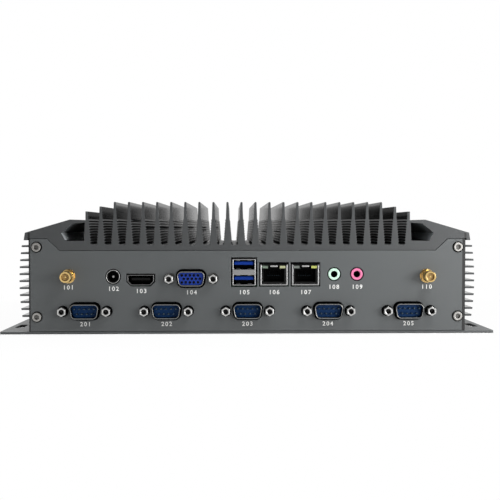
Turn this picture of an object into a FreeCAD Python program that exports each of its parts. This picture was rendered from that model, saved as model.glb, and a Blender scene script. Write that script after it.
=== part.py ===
# Fanless industrial PC with finned aluminium housing.
# Frame: +Z up, +X right and -Y towards the port panel, with the origin on the
# underside of the base plate at its middle. Lengths are in millimetres.

import FreeCAD, Part
import math
import os
import types

import Sketcher
from FreeCAD import Placement, Rotation, Vector

doc = FreeCAD.newDocument("industrial_pc")

# Driving dimensions, grouped by piece
SIZES = {
    # base plate with its two mounting flanges
    "base_width": 284.0,
    "base_thick": 1.2,
    "base_corner": 2.0,
    "slot_spacing": 272.0,
    "slot_setback": 25.0,
    "slot_width": 4.7,
    "slot_long": 15.0,
    "base_screw_x": 115.5,
    "base_screw_setback": 17.0,
    # end panels
    "body_depth": 150.0,
    "panel_width": 249.2,
    "panel_thick": 2.0,
    "panel_seam": 0.15,
    "corner_screw_x": 120.5,
    "corner_screw_low": 9.7,
    "corner_screw_high": 49.5,
    "head_recess": 1.0,
    # side heatsinks
    "wall_outer": 125.5,
    "wall_thick": 3.0,
    "side_top": 54.4,
    "ledge_inner": 114.6,
    "ledge_low": 50.0,
    "foot_inner": 110.5,
    "foot_thick": 3.0,
    "boss_radius": 3.2,
    "side_fin_count": 11.0,
    "side_fin_pitch": 4.0,
    "side_fin_low": 10.0,
    "side_fin_thick": 1.1,
    "side_fin_crown": 130.8,
    "side_fin_end": 129.3,
    # rails that hold the top heatsink on the side heatsinks
    "rail_x": 117.4,
    "rail_neck": 1.6,
    "rail_neck_drop": 1.2,
    "rail_head": 3.4,
    "rail_head_drop": 1.5,
    "rail_play": 0.1,
    # top heatsink
    "top_underside": 47.7,
    "ramp_inner": 107.5,
    "ramp_outer": 114.5,
    "lip_inner": 125.6,
    "lip_outer": 127.7,
    "lip_low": 53.4,
    "shoulder_edge_x": 127.0,
    "shoulder_edge_z": 57.7,
    "shoulder_bend_x": 101.5,
    "shoulder_bend_z": 65.2,
    "shoulder_root_x": 92.7,
    "shoulder_root_z": 64.9,
    "fin_pitch": 8.0,
    "fin_gap_count": 23.0,
    "fin_tip": 75.2,
    "second_fin_tip": 72.6,
    "outer_fin_tip": 69.8,
    "tip_chamfer": 0.3,
    "gap_root_round": 1.2,
    "gap_half_top": 3.4,
    "gap_half_middle": 3.05,
    "gap_half_root": 2.0,
    "serration_top": 65.4,
    "serration_pitch": 1.5,
    "serration_depth": 0.4,
    "fin_setback": 13.0,
    "setback_start": 54.0,
    "tunnel_inner_low_x": 93.6,
    "tunnel_inner_high_x": 93.1,
    "tunnel_floor": 53.1,
    "tunnel_roof": 63.5,
    "tunnel_bend_x": 100.0,
    "tunnel_bend_z": 62.9,
    "tunnel_outer_x": 106.5,
    "tunnel_outer_z": 57.6,
    "tunnel_heel_x": 104.0,
    # screws of the housing
    "screw_radius": 1.45,
    "screw_hole_radius": 1.6,
    "thread_play": 0.03,
    "tap_runout": 0.5,
    "head_radius": 2.6,
    "head_high": 2.0,
    "hex_key": 2.5,
    "hex_key_deep": 1.2,
    "panel_screw_long": 8.0,
    "base_screw_long": 4.0,
    "base_head_radius": 2.6,
    # boards and their standoffs
    "board_width": 216.0,
    "board_thick": 1.6,
    "board_setback": 3.0,
    "board_back_room": 25.0,
    "serial_board_top": 6.6,
    "main_board_top": 27.5,
    "standoff_x": 103.5,
    "standoff_setback_front": 30.0,
    "standoff_setback_back": 10.0,
    "standoff_flats": 5.5,
    "board_screw_radius": 1.45,
    "board_screw_long": 5.0,
    "board_head_high": 1.8,
    # row of serial ports
    "serial_pitch": 46.35,
    "serial_middle": -0.55,
    "serial_z": 12.9,
    "shell_half_top": 8.5,
    "shell_half_high": 4.2,
    "shell_round": 2.6,
    "shell_sheet": 0.5,
    "shell_proud": 3.8,
    "insert_inset": 0.15,
    "port_seam": 0.95,
    "flange_wide": 30.8,
    "flange_high": 12.4,
    "insert_wide": 18.0,
    "insert_back": 12.0,
    "insert_face": -0.4,
    "contact_pitch": 2.77,
    "contact_row": 2.84,
    "contact_radius": 0.4,
    "contact_proud": 2.6,
    "jack_spacing": 25.0,
    "jack_flats": 4.8,
    "jack_long": 4.6,
    "jack_stud": 3.2,
    "jack_seam": 0.25,
    "jack_stud_radius": 1.42,
    "jack_floor": 0.6,
    # analog monitor port
    "monitor_x": -32.8,
    "monitor_z": 31.5,
    "monitor_half_top": 8.2,
    "monitor_seam": 1.1,
    "monitor_face": -2.6,
    "monitor_hole_pitch": 2.29,
    "monitor_hole_row": 1.98,
    "monitor_hole_radius": 0.5,
    "monitor_hole_deep": 3.0,
    # double port for serial bus plugs
    "usb_x": -2.6,
    "usb_wide": 13.2,
    "usb_high": 15.2,
    "usb_sheet": 0.6,
    "usb_divider": 3.2,
    "usb_deep": 17.5,
    "usb_proud": 0.4,
    "usb_seam": 0.8,
    "usb_tongue_wide": 10.9,
    "usb_tongue_thick": 1.8,
    "usb_tongue_drop": 1.0,
    "usb_tongue_setback": 1.0,
    "usb_fill_setback": 12.0,
    # network ports
    "lan_left_x": 14.5,
    "lan_right_x": 32.6,
    "lan_wide": 15.6,
    "lan_high": 12.6,
    "lan_sheet": 0.8,
    "lan_deep": 21.0,
    "lan_proud": 0.4,
    "lan_seam": 0.6,
    "lan_mouth_wide": 11.9,
    "lan_mouth_high": 7.6,
    "lan_mouth_low": 1.9,
    "lan_mouth_deep": 12.5,
    "lan_step_wide": 6.2,
    "lan_step_high": 1.6,
    "lamp_wide": 3.2,
    "lamp_high": 1.4,
    "lamp_long": 6.0,
    "lamp_drop": 0.6,
    "lamp_inset": 0.4,
    "lamp_proud": 0.1,
    # digital video port
    "video_x": -61.5,
    "video_z": 30.7,
    "video_wide": 15.0,
    "video_high": 5.9,
    "video_chamfer": 2.2,
    "video_sheet": 0.4,
    "video_deep": 11.0,
    "video_proud": 0.3,
    "video_seam": 0.6,
    "video_tongue_wide": 10.6,
    "video_tongue_thick": 1.3,
    "video_tongue_lift": 0.5,
    "video_tongue_setback": 1.2,
    "video_leg_wide": 2.0,
    "video_leg_setback": 1.0,
    # power jack
    "power_jack_x": -77.2,
    "power_jack_z": 32.6,
    "power_jack_radius": 3.9,
    "power_jack_bore": 3.1,
    "power_jack_body": 9.0,
    "power_jack_deep": 13.5,
    "power_jack_bore_deep": 9.5,
    "power_pin_radius": 0.6,
    "power_pin_setback": 1.0,
    # audio jacks
    "green_jack_x": 49.1,
    "pink_jack_x": 62.2,
    "audio_z": 33.9,
    "audio_radius": 3.45,
    "audio_bore": 1.8,
    "audio_body": 11.0,
    "audio_deep": 13.0,
    "audio_bore_deep": 11.5,
    "round_seam": 0.45,
    "round_proud": 0.2,
    "round_step": 0.5,
    # antenna connectors
    "antenna_x": 102.5,
    "antenna_z": 32.9,
    "antenna_thread_radius": 3.1,
    "antenna_neck_radius": 2.8,
    "antenna_relief": 0.3,
    "antenna_hole_play": 0.25,
    "antenna_proud": 9.0,
    "antenna_bore": 2.1,
    "antenna_bore_deep": 4.0,
    "antenna_pin_radius": 0.6,
    "antenna_flats": 7.0,
    "antenna_nut_high": 2.2,
    "antenna_washer_radius": 4.0,
    "antenna_washer_thick": 0.5,
    "antenna_collar_thick": 2.0,
    "antenna_tail": 6.0,
    "antenna_tail_radius": 1.9,
    "antenna_pin_setback": 1.0,
    "thread_clearance": 0.05,
    # cooling block over the processor
    "processor_shift": 15.0,
    "processor_wide": 24.0,
    "processor_thick": 1.2,
    "die_wide": 11.0,
    "die_thick": 0.8,
    "pad_thick": 0.5,
    "block_wide": 40.0,
    "block_ear_wide": 68.0,
    "block_ear_thick": 3.0,
    "block_screw_x": 28.0,
    "block_screw_long": 6.5,
    # cards and cell on the main board
    "memory_x": 58.0,
    "memory_shift": -7.0,
    "memory_wide": 67.6,
    "memory_long": 30.0,
    "card_thick": 1.0,
    "socket_deep": 6.0,
    "socket_end": 2.0,
    "socket_grip": 3.0,
    "memory_socket_high": 5.2,
    "memory_lift": 2.6,
    "card_wide": 22.0,
    "drive_end_x": -98.0,
    "drive_setback": 22.0,
    "drive_long": 80.0,
    "wireless_x": -90.0,
    "wireless_long": 30.0,
    "wireless_shift": 41.0,
    "card_socket_high": 3.2,
    "card_lift": 1.2,
    "cell_radius": 10.0,
    "cell_thick": 3.2,
    "cell_x": -45.0,
    "cell_shift": 30.0,
    "holder_wall": 1.2,
    "holder_floor": 0.8,
    "holder_play": 0.1,
    "link_wide": 50.0,
    "link_deep": 5.0,
    "link_setback": 10.0,
    # antenna leads
    "lead_radius": 0.6,
    "lead_bend": 8.0,
    "lead_spacing": 6.0,
    "lead_cross_left": 9.0,
    "lead_cross_right": 19.0,
    "lead_turn_back": 12.0,
    "lead_plug_radius": 1.0,
    "lead_plug_high": 2.6,
    # service panel with the power button
    "button_x": 96.0,
    "button_z": 30.0,
    "button_radius": 5.0,
    "button_play": 0.05,
    "button_room": 2.0,
    "button_proud": 1.6,
    "button_deep": 8.0,
    "bezel_radius": 8.0,
    "bezel_thick": 1.2,
    "bezel_sleeve": 6.8,
    "bezel_deep": 14.0,
    "lamp_x": 78.0,
    "lamp_spacing": 8.0,
    "lamp_radius": 1.5,
    "lamp_deep": 6.0,
    "lamp_dome": 0.4,
}

PORT_COUNT = 5
FLANK_TAPER = math.radians(10)
RAMP_HALF_TURN = math.radians(22.5)
CHAMFER_GROWTH = 2 - math.sqrt(2)
SERRATIONS = 9


class Length:
    """A size in millimetres together with the sheet formula that gives it."""

    def __init__(self, value, formula=None):
        self.value = float(value)
        self.formula = formula or f"({self.value!r})"

    def __add__(self, other):
        other = as_length(other)
        return Length(self.value + other.value, f"({self.formula} + {other.formula})")

    def __sub__(self, other):
        other = as_length(other)
        return Length(self.value - other.value, f"({self.formula} - {other.formula})")

    def __mul__(self, other):
        other = as_length(other)
        return Length(self.value * other.value, f"({self.formula} * {other.formula})")

    def __truediv__(self, other):
        other = as_length(other)
        return Length(self.value / other.value, f"({self.formula} / {other.formula})")

    def __neg__(self):
        return Length(-self.value, f"(0 - {self.formula})")

    def __radd__(self, other):
        return as_length(other) + self

    def __rsub__(self, other):
        return as_length(other) - self

    def __rmul__(self, other):
        return as_length(other) * self


def as_length(value):
    return value if isinstance(value, Length) else Length(value)


def make_sheet():
    """Write every driving dimension to the sheet and give them back by name."""
    sheet = doc.addObject("Spreadsheet::Sheet", "Sizes")
    named = {}
    for row, (alias, value) in enumerate(SIZES.items(), start=1):
        sheet.set(f"A{row}", alias.replace("_", " "))
        sheet.set(f"B{row}", repr(value))
        sheet.setAlias(f"B{row}", alias)
        named[alias] = Length(value, f"Sizes.{alias}")
    doc.recompute()
    return types.SimpleNamespace(**named)


d = make_sheet()
pieces = []


def piece(thing, label):
    """Keep a finished sub-part under its own name."""
    thing.Label = label
    pieces.append(thing)
    return thing


def bind(thing, prop, length):
    thing.setExpression(prop, as_length(length).formula)


def place(thing, x=0, y=0, z=0, turn=None):
    if turn is not None:
        thing.Placement = Placement(Vector(), turn)
    for axis, length in zip("xyz", (x, y, z)):
        bind(thing, f"Placement.Base.{axis}", length)
    return thing


# Primitives and booleans

AXIS_TURN = {
    "x": Rotation(Vector(0, 1, 0), 90),
    "y": Rotation(Vector(1, 0, 0), -90),
    "z": Rotation(),
}
HEX_TURN = {
    "y": Rotation(Vector(1, 0, 0), -90) * Rotation(Vector(0, 0, 1), 30),
    "z": Rotation(),
}


def block(x, y, z):
    """A box between the low and high ends given for each axis."""
    box = doc.addObject("Part::Box", "block")
    for prop, (low, high) in zip(("Length", "Width", "Height"), (x, y, z)):
        bind(box, prop, as_length(high) - low)
    return place(box, x[0], y[0], z[0])


def centred(middle, width):
    """Low and high ends of a stretch about its middle."""
    return as_length(middle) - as_length(width) / 2, as_length(middle) + as_length(width) / 2


def rod(radius, start, length, axis="z"):
    cylinder = doc.addObject("Part::Cylinder", "rod")
    bind(cylinder, "Radius", radius)
    bind(cylinder, "Height", length)
    return place(cylinder, *start, turn=AXIS_TURN[axis])


def taper(radius_start, radius_end, start, length, axis="z"):
    cone = doc.addObject("Part::Cone", "taper")
    bind(cone, "Radius1", radius_start)
    bind(cone, "Radius2", radius_end)
    bind(cone, "Height", length)
    return place(cone, *start, turn=AXIS_TURN[axis])


def hexagon(flats, start, length, axis="z"):
    """A six-sided prism with the given width across its flats."""
    prism = doc.addObject("Part::Prism", "hexagon")
    prism.Polygon = 6
    bind(prism, "Circumradius", flats / (2 * math.cos(math.radians(30))))
    bind(prism, "Height", length)
    return place(prism, *start, turn=HEX_TURN[axis])


def fuse(*parts):
    joined = doc.addObject("Part::MultiFuse", "fuse")
    joined.Shapes = list(parts)
    joined.Refine = True
    return joined


def cut(base, *tools):
    tool = tools[0] if len(tools) == 1 else fuse(*tools)
    result = doc.addObject("Part::Cut", "cut")
    result.Base = base
    result.Tool = tool
    result.Refine = True
    return result


def group(label, parts):
    """Separate identical solids that share one node."""
    compound = doc.addObject("Part::Compound", "group")
    compound.Links = list(parts)
    return piece(compound, label)


# Sketched bodies

PLANE_SIGN = {"XY_Plane": 1, "XZ_Plane": -1, "YZ_Plane": 1}


def new_body(label, x=0, y=0, z=0):
    body = doc.addObject("PartDesign::Body", "body")
    place(body, x, y, z)
    return piece(body, label)


def origin_feature(body, role):
    return next(item for item in body.Origin.OriginFeatures if item.Role == role)


def sweep_arc(start, end, radius):
    """The short arc of a radius from start to end, turning left."""
    chord = end - start
    rise = math.sqrt(max(radius ** 2 - (chord.Length / 2) ** 2, 0))
    across = Vector(-chord.y, chord.x, 0).normalize()
    centre = (start + end) / 2 + across * rise
    angles = [math.atan2(point.y - centre.y, point.x - centre.x) for point in (start, end)]
    return Part.ArcOfCircle(Part.Circle(centre, Vector(0, 0, 1), radius), *angles)


def pin_point(sketch, geometry, position, u, v):
    """Tie one sketch point to its two formulas."""
    for kind, length in (("DistanceX", u), ("DistanceY", v)):
        index = sketch.addConstraint(
            Sketcher.Constraint(kind, -1, 1, geometry, position, length.value)
        )
        bind(sketch, f"Constraints[{index}]", length)


def draw_circle(sketch, u, v, radius):
    circle = Part.Circle(Vector(u.value, v.value, 0), Vector(0, 0, 1), radius.value)
    index = sketch.addGeometry(circle, False)
    pin_point(sketch, index, 3, u, v)
    size = sketch.addConstraint(Sketcher.Constraint("Radius", index, radius.value))
    bind(sketch, f"Constraints[{size}]", radius)


def draw_outline(sketch, corners):
    """Draw a closed outline; a corner with a third value starts an arc of that radius."""
    corners = [tuple(as_length(value) for value in corner) for corner in corners]
    first = sketch.GeometryCount
    for corner, following in zip(corners, corners[1:] + corners[:1]):
        start = Vector(corner[0].value, corner[1].value, 0)
        end = Vector(following[0].value, following[1].value, 0)
        straight = len(corner) == 2
        curve = Part.LineSegment(start, end) if straight else sweep_arc(start, end, corner[2].value)
        sketch.addGeometry(curve, False)
    for step, corner in enumerate(corners):
        geometry = first + step
        following = first + (step + 1) % len(corners)
        sketch.addConstraint(Sketcher.Constraint("Coincident", geometry, 2, following, 1))
        pin_point(sketch, geometry, 1, corner[0], corner[1])
        if len(corner) == 3:
            size = sketch.addConstraint(Sketcher.Constraint("Radius", geometry, corner[2].value))
            bind(sketch, f"Constraints[{size}]", corner[2])


def extrude(body, kind, plane, outlines, low, high):
    """Pad or pocket outlines on an origin plane between two heights over that plane."""
    low, high = as_length(low), as_length(high)
    sketch = body.newObject("Sketcher::SketchObject", "outline")
    sketch.AttachmentSupport = [(origin_feature(body, plane), "")]
    sketch.MapMode = "FlatFace"
    bind(sketch, "AttachmentOffset.Base.z", PLANE_SIGN[plane] * (low + high) / 2)
    for outline in outlines:
        if isinstance(outline, tuple):
            draw_circle(sketch, *(as_length(value) for value in outline))
        else:
            draw_outline(sketch, outline)
    feature = body.newObject("PartDesign::" + kind, kind.lower())
    feature.Profile = sketch
    feature.SideType = "Symmetric"
    bind(feature, "Length", high - low)
    return feature


def pad(body, plane, outlines, low, high):
    return extrude(body, "Pad", plane, outlines, low, high)


def pocket(body, plane, outlines, low, high):
    return extrude(body, "Pocket", plane, outlines, low, high)


def repeat(body, feature, axis, length, copies):
    """Repeat a feature along an origin axis; length spans the first to the last copy."""
    pattern = body.newObject("PartDesign::LinearPattern", "pattern")
    pattern.Originals = [feature]
    pattern.Direction = (origin_feature(body, axis), [""])
    bind(pattern, "Length", length)
    bind(pattern, "Occurrences", copies)
    body.Tip = pattern
    return pattern


def rectangle(u, v, width, height):
    """Corners of a rectangle about its middle."""
    left, right = centred(u, width)
    low, high = centred(v, height)
    return [(left, low), (right, low), (right, high), (left, high)]


def flipped(corners):
    """The mirror image of an outline about the vertical axis, walked the same way round."""
    return [(-as_length(u), v) for u, v in reversed(corners)]


def plug_outline(half_top, half_high, corner, grow=0):
    """The keyed outline of a D-shaped port, wider at the top, with rounded corners."""
    slope = math.tan(FLANK_TAPER)
    grow = as_length(grow)
    radius = corner + grow
    high = half_high + grow
    wide_top = half_top + grow
    wide_low = wide_top - 2 * high * slope
    reach_top = radius / math.tan((math.pi / 2 - FLANK_TAPER) / 2)
    reach_low = radius / math.tan((math.pi / 2 + FLANK_TAPER) / 2)
    side_x, side_z = math.sin(FLANK_TAPER), math.cos(FLANK_TAPER)
    return [
        (reach_low - wide_low, -high),
        (wide_low - reach_low, -high, radius),
        (wide_low + reach_low * side_x, reach_low * side_z - high),
        (wide_top - reach_top * side_x, high - reach_top * side_z, radius),
        (wide_top - reach_top, high),
        (reach_top - wide_top, high, radius),
        (reach_top * side_x - wide_top, high - reach_top * side_z),
        (-wide_low - reach_low * side_x, reach_low * side_z - high, radius),
    ]


def moved(corners, u, v):
    """An outline or circle carried to another place."""
    if isinstance(corners, tuple):
        return (corners[0] + as_length(u), corners[1] + as_length(v), corners[2])
    return [(as_length(c[0]) + u, as_length(c[1]) + v) + tuple(c[2:]) for c in corners]


# Places that several pieces share

front = -d.body_depth / 2
back = d.body_depth / 2
front_inside = front + d.panel_thick
back_inside = back - d.panel_thick
serial_board_under = d.serial_board_top - d.board_thick
main_board_under = d.main_board_top - d.board_thick
board_front = front_inside + d.board_setback
board_back = back_inside - d.board_back_room
board_middle = (board_front + board_back) / 2
processor_y = board_middle + d.processor_shift
wireless_edge = board_middle + d.wireless_shift
usb_z = d.main_board_top + d.usb_high / 2
lan_z = d.main_board_top + d.lan_high / 2
first_column = d.serial_middle - (PORT_COUNT - 1) / 2 * d.serial_pitch
serial_columns = [first_column + index * d.serial_pitch for index in range(PORT_COUNT)]
jack_places = [(x, d.serial_z) for x in serial_columns] + [(d.monitor_x, d.monitor_z)]
corner_places = [
    (side * d.corner_screw_x, z)
    for side in (-1, 1)
    for z in (d.corner_screw_low, d.corner_screw_high)
]
base_screw_reach = d.body_depth / 2 - d.base_screw_setback
base_screw_places = [
    (side * d.base_screw_x, row * base_screw_reach) for side in (-1, 1) for row in (-1, 0, 1)
]
standoff_rows = (board_front + d.standoff_setback_front, board_back - d.standoff_setback_back)
standoff_places = [(side * d.standoff_x, y) for side in (-1, 1) for y in standoff_rows]
block_screw_places = [(side * d.block_screw_x, processor_y) for side in (-1, 1)]


# Housing

def base_plate():
    body = new_body("base_plate")
    half, deep, corner = d.base_width / 2, d.body_depth / 2, d.base_corner
    outline = [
        (corner - half, -deep),
        (half - corner, -deep, corner),
        (half, corner - deep),
        (half, deep - corner, corner),
        (half - corner, deep),
        (corner - half, deep, corner),
        (-half, deep - corner),
        (-half, corner - deep, corner),
    ]
    pad(body, "XY_Plane", [outline], 0, d.base_thick)
    radius = d.slot_width / 2
    straight = (d.slot_long - d.slot_width) / 2
    slots = []
    for side in (-1, 1):
        for row in (-1, 1):
            slot = [
                (-radius, straight),
                (-radius, -straight, radius),
                (0, -straight - radius, radius),
                (radius, -straight),
                (radius, straight, radius),
                (0, straight + radius, radius),
            ]
            slots.append(moved(slot, side * d.slot_spacing / 2, row * (deep - d.slot_setback)))
    holes = [(x, y, d.screw_radius + d.thread_play) for x, y in base_screw_places]
    pocket(body, "XY_Plane", slots + holes, -1, d.base_thick + 1)
    for x, y in base_screw_places:
        sink = body.newObject("PartDesign::SubtractiveCone", "countersink")
        sink.AttachmentSupport = [(origin_feature(body, "XY_Plane"), "")]
        sink.MapMode = "FlatFace"
        bind(sink, "AttachmentOffset.Base.x", x)
        bind(sink, "AttachmentOffset.Base.y", y)
        bind(sink, "Radius1", d.base_head_radius)
        bind(sink, "Radius2", d.screw_radius + d.thread_play)
        bind(sink, "Height", d.base_thick)


def side_profile():
    """Wall, ledge and foot of the right-hand side heatsink, seen from the front."""
    inner = d.wall_outer - d.wall_thick
    low = d.base_thick
    foot_top = low + d.foot_thick
    return [
        (d.foot_inner, low),
        (d.wall_outer, low),
        (d.wall_outer, d.side_top),
        (d.ledge_inner, d.side_top),
        (d.ledge_inner, d.ledge_low),
        (inner, d.ledge_low),
        (inner, foot_top),
        (d.foot_inner, foot_top),
    ]


def rail_outline(play, top):
    """The T-shaped rail of the top heatsink, or with play the slot it slides in."""
    neck = d.rail_neck / 2 + play
    head = d.rail_head / 2 + play
    neck_low = d.side_top - d.rail_neck_drop + play
    head_low = d.side_top - d.rail_neck_drop - d.rail_head_drop - play
    return [
        (d.rail_x - neck, neck_low),
        (d.rail_x - head, neck_low),
        (d.rail_x - head, head_low),
        (d.rail_x + head, head_low),
        (d.rail_x + head, neck_low),
        (d.rail_x + neck, neck_low),
        (d.rail_x + neck, top),
        (d.rail_x - neck, top),
    ]


def side_heatsink(label, side):
    body = new_body(label)
    profile = side_profile()
    bosses = [(d.corner_screw_x, z, d.boss_radius) for z in (d.corner_screw_low, d.corner_screw_high)]
    bores = [(x, z, d.screw_radius + d.thread_play) for x, z, radius in bosses]
    half = (d.side_fin_count - 1) * d.side_fin_pitch / 2 + d.side_fin_thick / 2
    middle = d.side_fin_low + (d.side_fin_count - 1) * d.side_fin_pitch / 2
    rise = d.side_fin_crown - d.side_fin_end
    crown = (half * half + rise * rise) / (2 * rise)
    root = d.wall_outer - d.wall_thick / 2
    fins = [
        (root, middle - half),
        (d.side_fin_end, middle - half, crown),
        (d.side_fin_end, middle + half),
        (root, middle + half),
    ]
    gap_low = d.side_fin_low + d.side_fin_thick / 2
    gap_high = d.side_fin_low + d.side_fin_pitch - d.side_fin_thick / 2
    gap = [
        (d.wall_outer, gap_low),
        (d.side_fin_crown + 1, gap_low),
        (d.side_fin_crown + 1, gap_high),
        (d.wall_outer, gap_high),
    ]
    slot = rail_outline(d.rail_play, d.side_top + 1)
    if side < 0:
        profile, gap, slot = flipped(profile), flipped(gap), flipped(slot)
        bosses = [(-x, z, radius) for x, z, radius in bosses]
        bores = [(-x, z, radius) for x, z, radius in bores]
        fins = [
            (-root, middle - half),
            (-root, middle + half),
            (-d.side_fin_end, middle + half, crown),
            (-d.side_fin_end, middle - half),
        ]
    pad(body, "XZ_Plane", [profile], front_inside, back_inside)
    for boss in bosses:
        pad(body, "XZ_Plane", [boss], front_inside, back_inside)
    pocket(body, "XZ_Plane", [slot], front_inside, back_inside)
    pad(body, "XZ_Plane", [fins], front_inside, back_inside)
    first_gap = pocket(body, "XZ_Plane", [gap], front_inside, back_inside)
    repeat(body, first_gap, "Z_Axis", (d.side_fin_count - 2) * d.side_fin_pitch, d.side_fin_count - 1)
    pocket(body, "XZ_Plane", bores, front_inside, back_inside)
    taps = [(x, y, d.screw_radius + d.thread_play) for x, y in base_screw_places]
    taps = [tap for tap in taps if tap[0].value * side > 0]
    pocket(body, "XY_Plane", taps, 0, d.base_thick + d.foot_thick)


def fin_gap():
    """The space between two fins: open at the top, serrated flanks, rounded floor."""
    flank = (d.gap_half_middle - d.gap_half_root) / (SERRATIONS * d.serration_pitch)
    right = [(d.gap_half_root, d.serration_top - SERRATIONS * d.serration_pitch)]
    for tooth in reversed(range(SERRATIONS)):
        middle = (tooth + 0.5) * d.serration_pitch
        right.append((d.gap_half_middle - flank * middle - d.serration_depth, d.serration_top - middle))
        root = tooth * d.serration_pitch
        right.append((d.gap_half_middle - flank * root, d.serration_top - root))
    right.append((d.gap_half_top, d.fin_tip - d.tip_chamfer))
    right.append((d.gap_half_top + d.tip_chamfer, d.fin_tip))
    right.append((d.gap_half_top + d.tip_chamfer, d.fin_tip + 1))
    left = [(-u, v) for u, v in reversed(right)]
    left[-1] = (left[-1][0], left[-1][1], d.gap_root_round)
    floor_half = d.gap_half_root - d.gap_root_round
    drop = right[0][1] - d.gap_root_round
    floor = [(-floor_half, drop), (floor_half, drop, d.gap_root_round)]
    return floor + right + left


def top_heatsink():
    body = new_body("top_heatsink")
    second_from = (d.fin_gap_count - 3) / 2 * d.fin_pitch
    first_from = second_from + d.fin_pitch
    half = [
        (d.ramp_inner, d.top_underside),
        (d.ramp_outer, d.side_top),
        (d.lip_inner, d.side_top),
        (d.lip_inner, d.lip_low),
        (d.lip_outer, d.lip_low),
        (d.shoulder_edge_x, d.shoulder_edge_z),
        (d.shoulder_bend_x, d.shoulder_bend_z),
        (d.shoulder_root_x, d.shoulder_root_z),
        (d.shoulder_root_x, d.outer_fin_tip),
        (first_from, d.outer_fin_tip),
        (first_from, d.second_fin_tip),
        (second_from, d.second_fin_tip),
        (second_from, d.fin_tip),
    ]
    tunnel = [
        (d.tunnel_inner_low_x, d.tunnel_floor),
        (d.tunnel_heel_x, d.tunnel_floor),
        (d.tunnel_outer_x, d.tunnel_outer_z),
        (d.tunnel_bend_x, d.tunnel_bend_z),
        (d.tunnel_inner_high_x, d.tunnel_roof),
    ]
    pad(body, "XZ_Plane", [half + flipped(half)], front, back)
    pocket(body, "XZ_Plane", [tunnel, flipped(tunnel)], front, back)
    slope = [
        (back + 1, d.setback_start),
        (back + 1, d.fin_tip + 1),
        (back - d.fin_setback, d.fin_tip + 1),
        (back - d.fin_setback, d.fin_tip),
        (back, d.setback_start),
    ]
    pocket(body, "YZ_Plane", [slope], -d.shoulder_root_x, d.shoulder_root_x)
    rail = rail_outline(0, d.side_top + 1)
    pad(body, "XZ_Plane", [rail, flipped(rail)], front_inside + d.rail_play, back_inside - d.rail_play)
    taps = [(x, y, d.screw_radius + d.thread_play) for x, y in block_screw_places]
    reach = d.block_screw_long - d.block_ear_thick + d.tap_runout
    pocket(body, "XY_Plane", taps, d.top_underside, d.top_underside + reach)
    span = (d.fin_gap_count - 1) * d.fin_pitch
    gap = pocket(body, "XZ_Plane", [moved(fin_gap(), -span / 2, 0)], front, back)
    repeat(body, gap, "X_Axis", span, d.fin_gap_count)


def panel_outline():
    """Half of an end panel, following the stepped edge of the top heatsink."""
    half = d.panel_width / 2
    low = d.base_thick + d.panel_seam
    slant = d.panel_seam * math.tan(RAMP_HALF_TURN)
    right = [
        (half, low),
        (half, d.side_top - d.panel_seam),
        (d.ramp_outer + slant, d.side_top - d.panel_seam),
        (d.ramp_inner + slant, d.top_underside - d.panel_seam),
    ]
    return right + flipped(right)


def end_panel(label, outside, inside, recess_from, recess_to):
    body = new_body(label)
    pad(body, "XZ_Plane", [panel_outline()], outside, inside)
    holes = [(x, z, d.screw_hole_radius) for x, z in corner_places]
    pocket(body, "XZ_Plane", holes, outside, inside)
    recesses = [(x, z, d.head_radius + d.round_seam) for x, z in corner_places]
    pocket(body, "XZ_Plane", recesses, recess_from, recess_to)
    return body


def port_panel():
    """The panel with an opening for each port; the jackscrews pass through it."""
    body = end_panel("port_panel", front, front_inside, front, front + d.head_recess)
    jack_hole_radius = d.jack_flats / (2 * math.cos(math.radians(30))) + d.jack_seam
    serial = plug_outline(d.shell_half_top, d.shell_half_high, d.shell_round, d.port_seam)
    first = pocket(body, "XZ_Plane", [moved(serial, serial_columns[0], d.serial_z)], front, front_inside)
    repeat(body, first, "X_Axis", (PORT_COUNT - 1) * d.serial_pitch, PORT_COUNT)
    monitor = plug_outline(d.monitor_half_top, d.shell_half_high, d.shell_round, d.monitor_seam)
    video = video_outline(d.video_seam)
    openings = [
        moved(monitor, d.monitor_x, d.monitor_z),
        moved(video, d.video_x, d.video_z),
        rectangle(d.usb_x, usb_z, d.usb_wide + 2 * d.usb_seam, d.usb_high + 2 * d.usb_seam),
    ]
    for x in (d.lan_left_x, d.lan_right_x):
        openings.append(rectangle(x, lan_z, d.lan_wide + 2 * d.lan_seam, d.lan_high + 2 * d.lan_seam))
    openings.append((d.power_jack_x, d.power_jack_z, d.power_jack_radius + d.round_seam))
    for x in (d.green_jack_x, d.pink_jack_x):
        openings.append((x, d.audio_z, d.audio_radius + d.round_seam))
    for side in (-1, 1):
        openings.append((side * d.antenna_x, d.antenna_z, d.antenna_thread_radius + d.antenna_hole_play))
    for x, z in jack_places:
        for side in (-1, 1):
            openings.append((x + side * d.jack_spacing / 2, z, jack_hole_radius))
    pocket(body, "XZ_Plane", openings, front, front_inside)


def service_panel():
    body = end_panel("service_panel", back_inside, back, back - d.head_recess, back)
    openings = [(d.button_x, d.button_z, d.bezel_sleeve + d.thread_clearance)]
    for side in (-1, 1):
        x = d.lamp_x + side * d.lamp_spacing / 2
        openings.append((x, d.button_z, d.lamp_radius + d.thread_clearance))
    pocket(body, "XZ_Plane", openings, back_inside, back)


# Fasteners

def socket_screw(x, z, seat, way):
    """A low socket head screw along Y; way is 1 where it points towards +Y."""
    if way > 0:
        head = rod(d.head_radius, (x, seat - d.head_high, z), d.head_high, "y")
        shank = rod(d.screw_radius, (x, seat, z), d.panel_screw_long, "y")
        key = hexagon(d.hex_key, (x, seat - d.head_high, z), d.hex_key_deep, "y")
    else:
        head = rod(d.head_radius, (x, seat, z), d.head_high, "y")
        shank = rod(d.screw_radius, (x, seat - d.panel_screw_long, z), d.panel_screw_long, "y")
        key = hexagon(d.hex_key, (x, seat + d.head_high - d.hex_key_deep, z), d.hex_key_deep, "y")
    return cut(fuse(head, shank), key)


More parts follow.
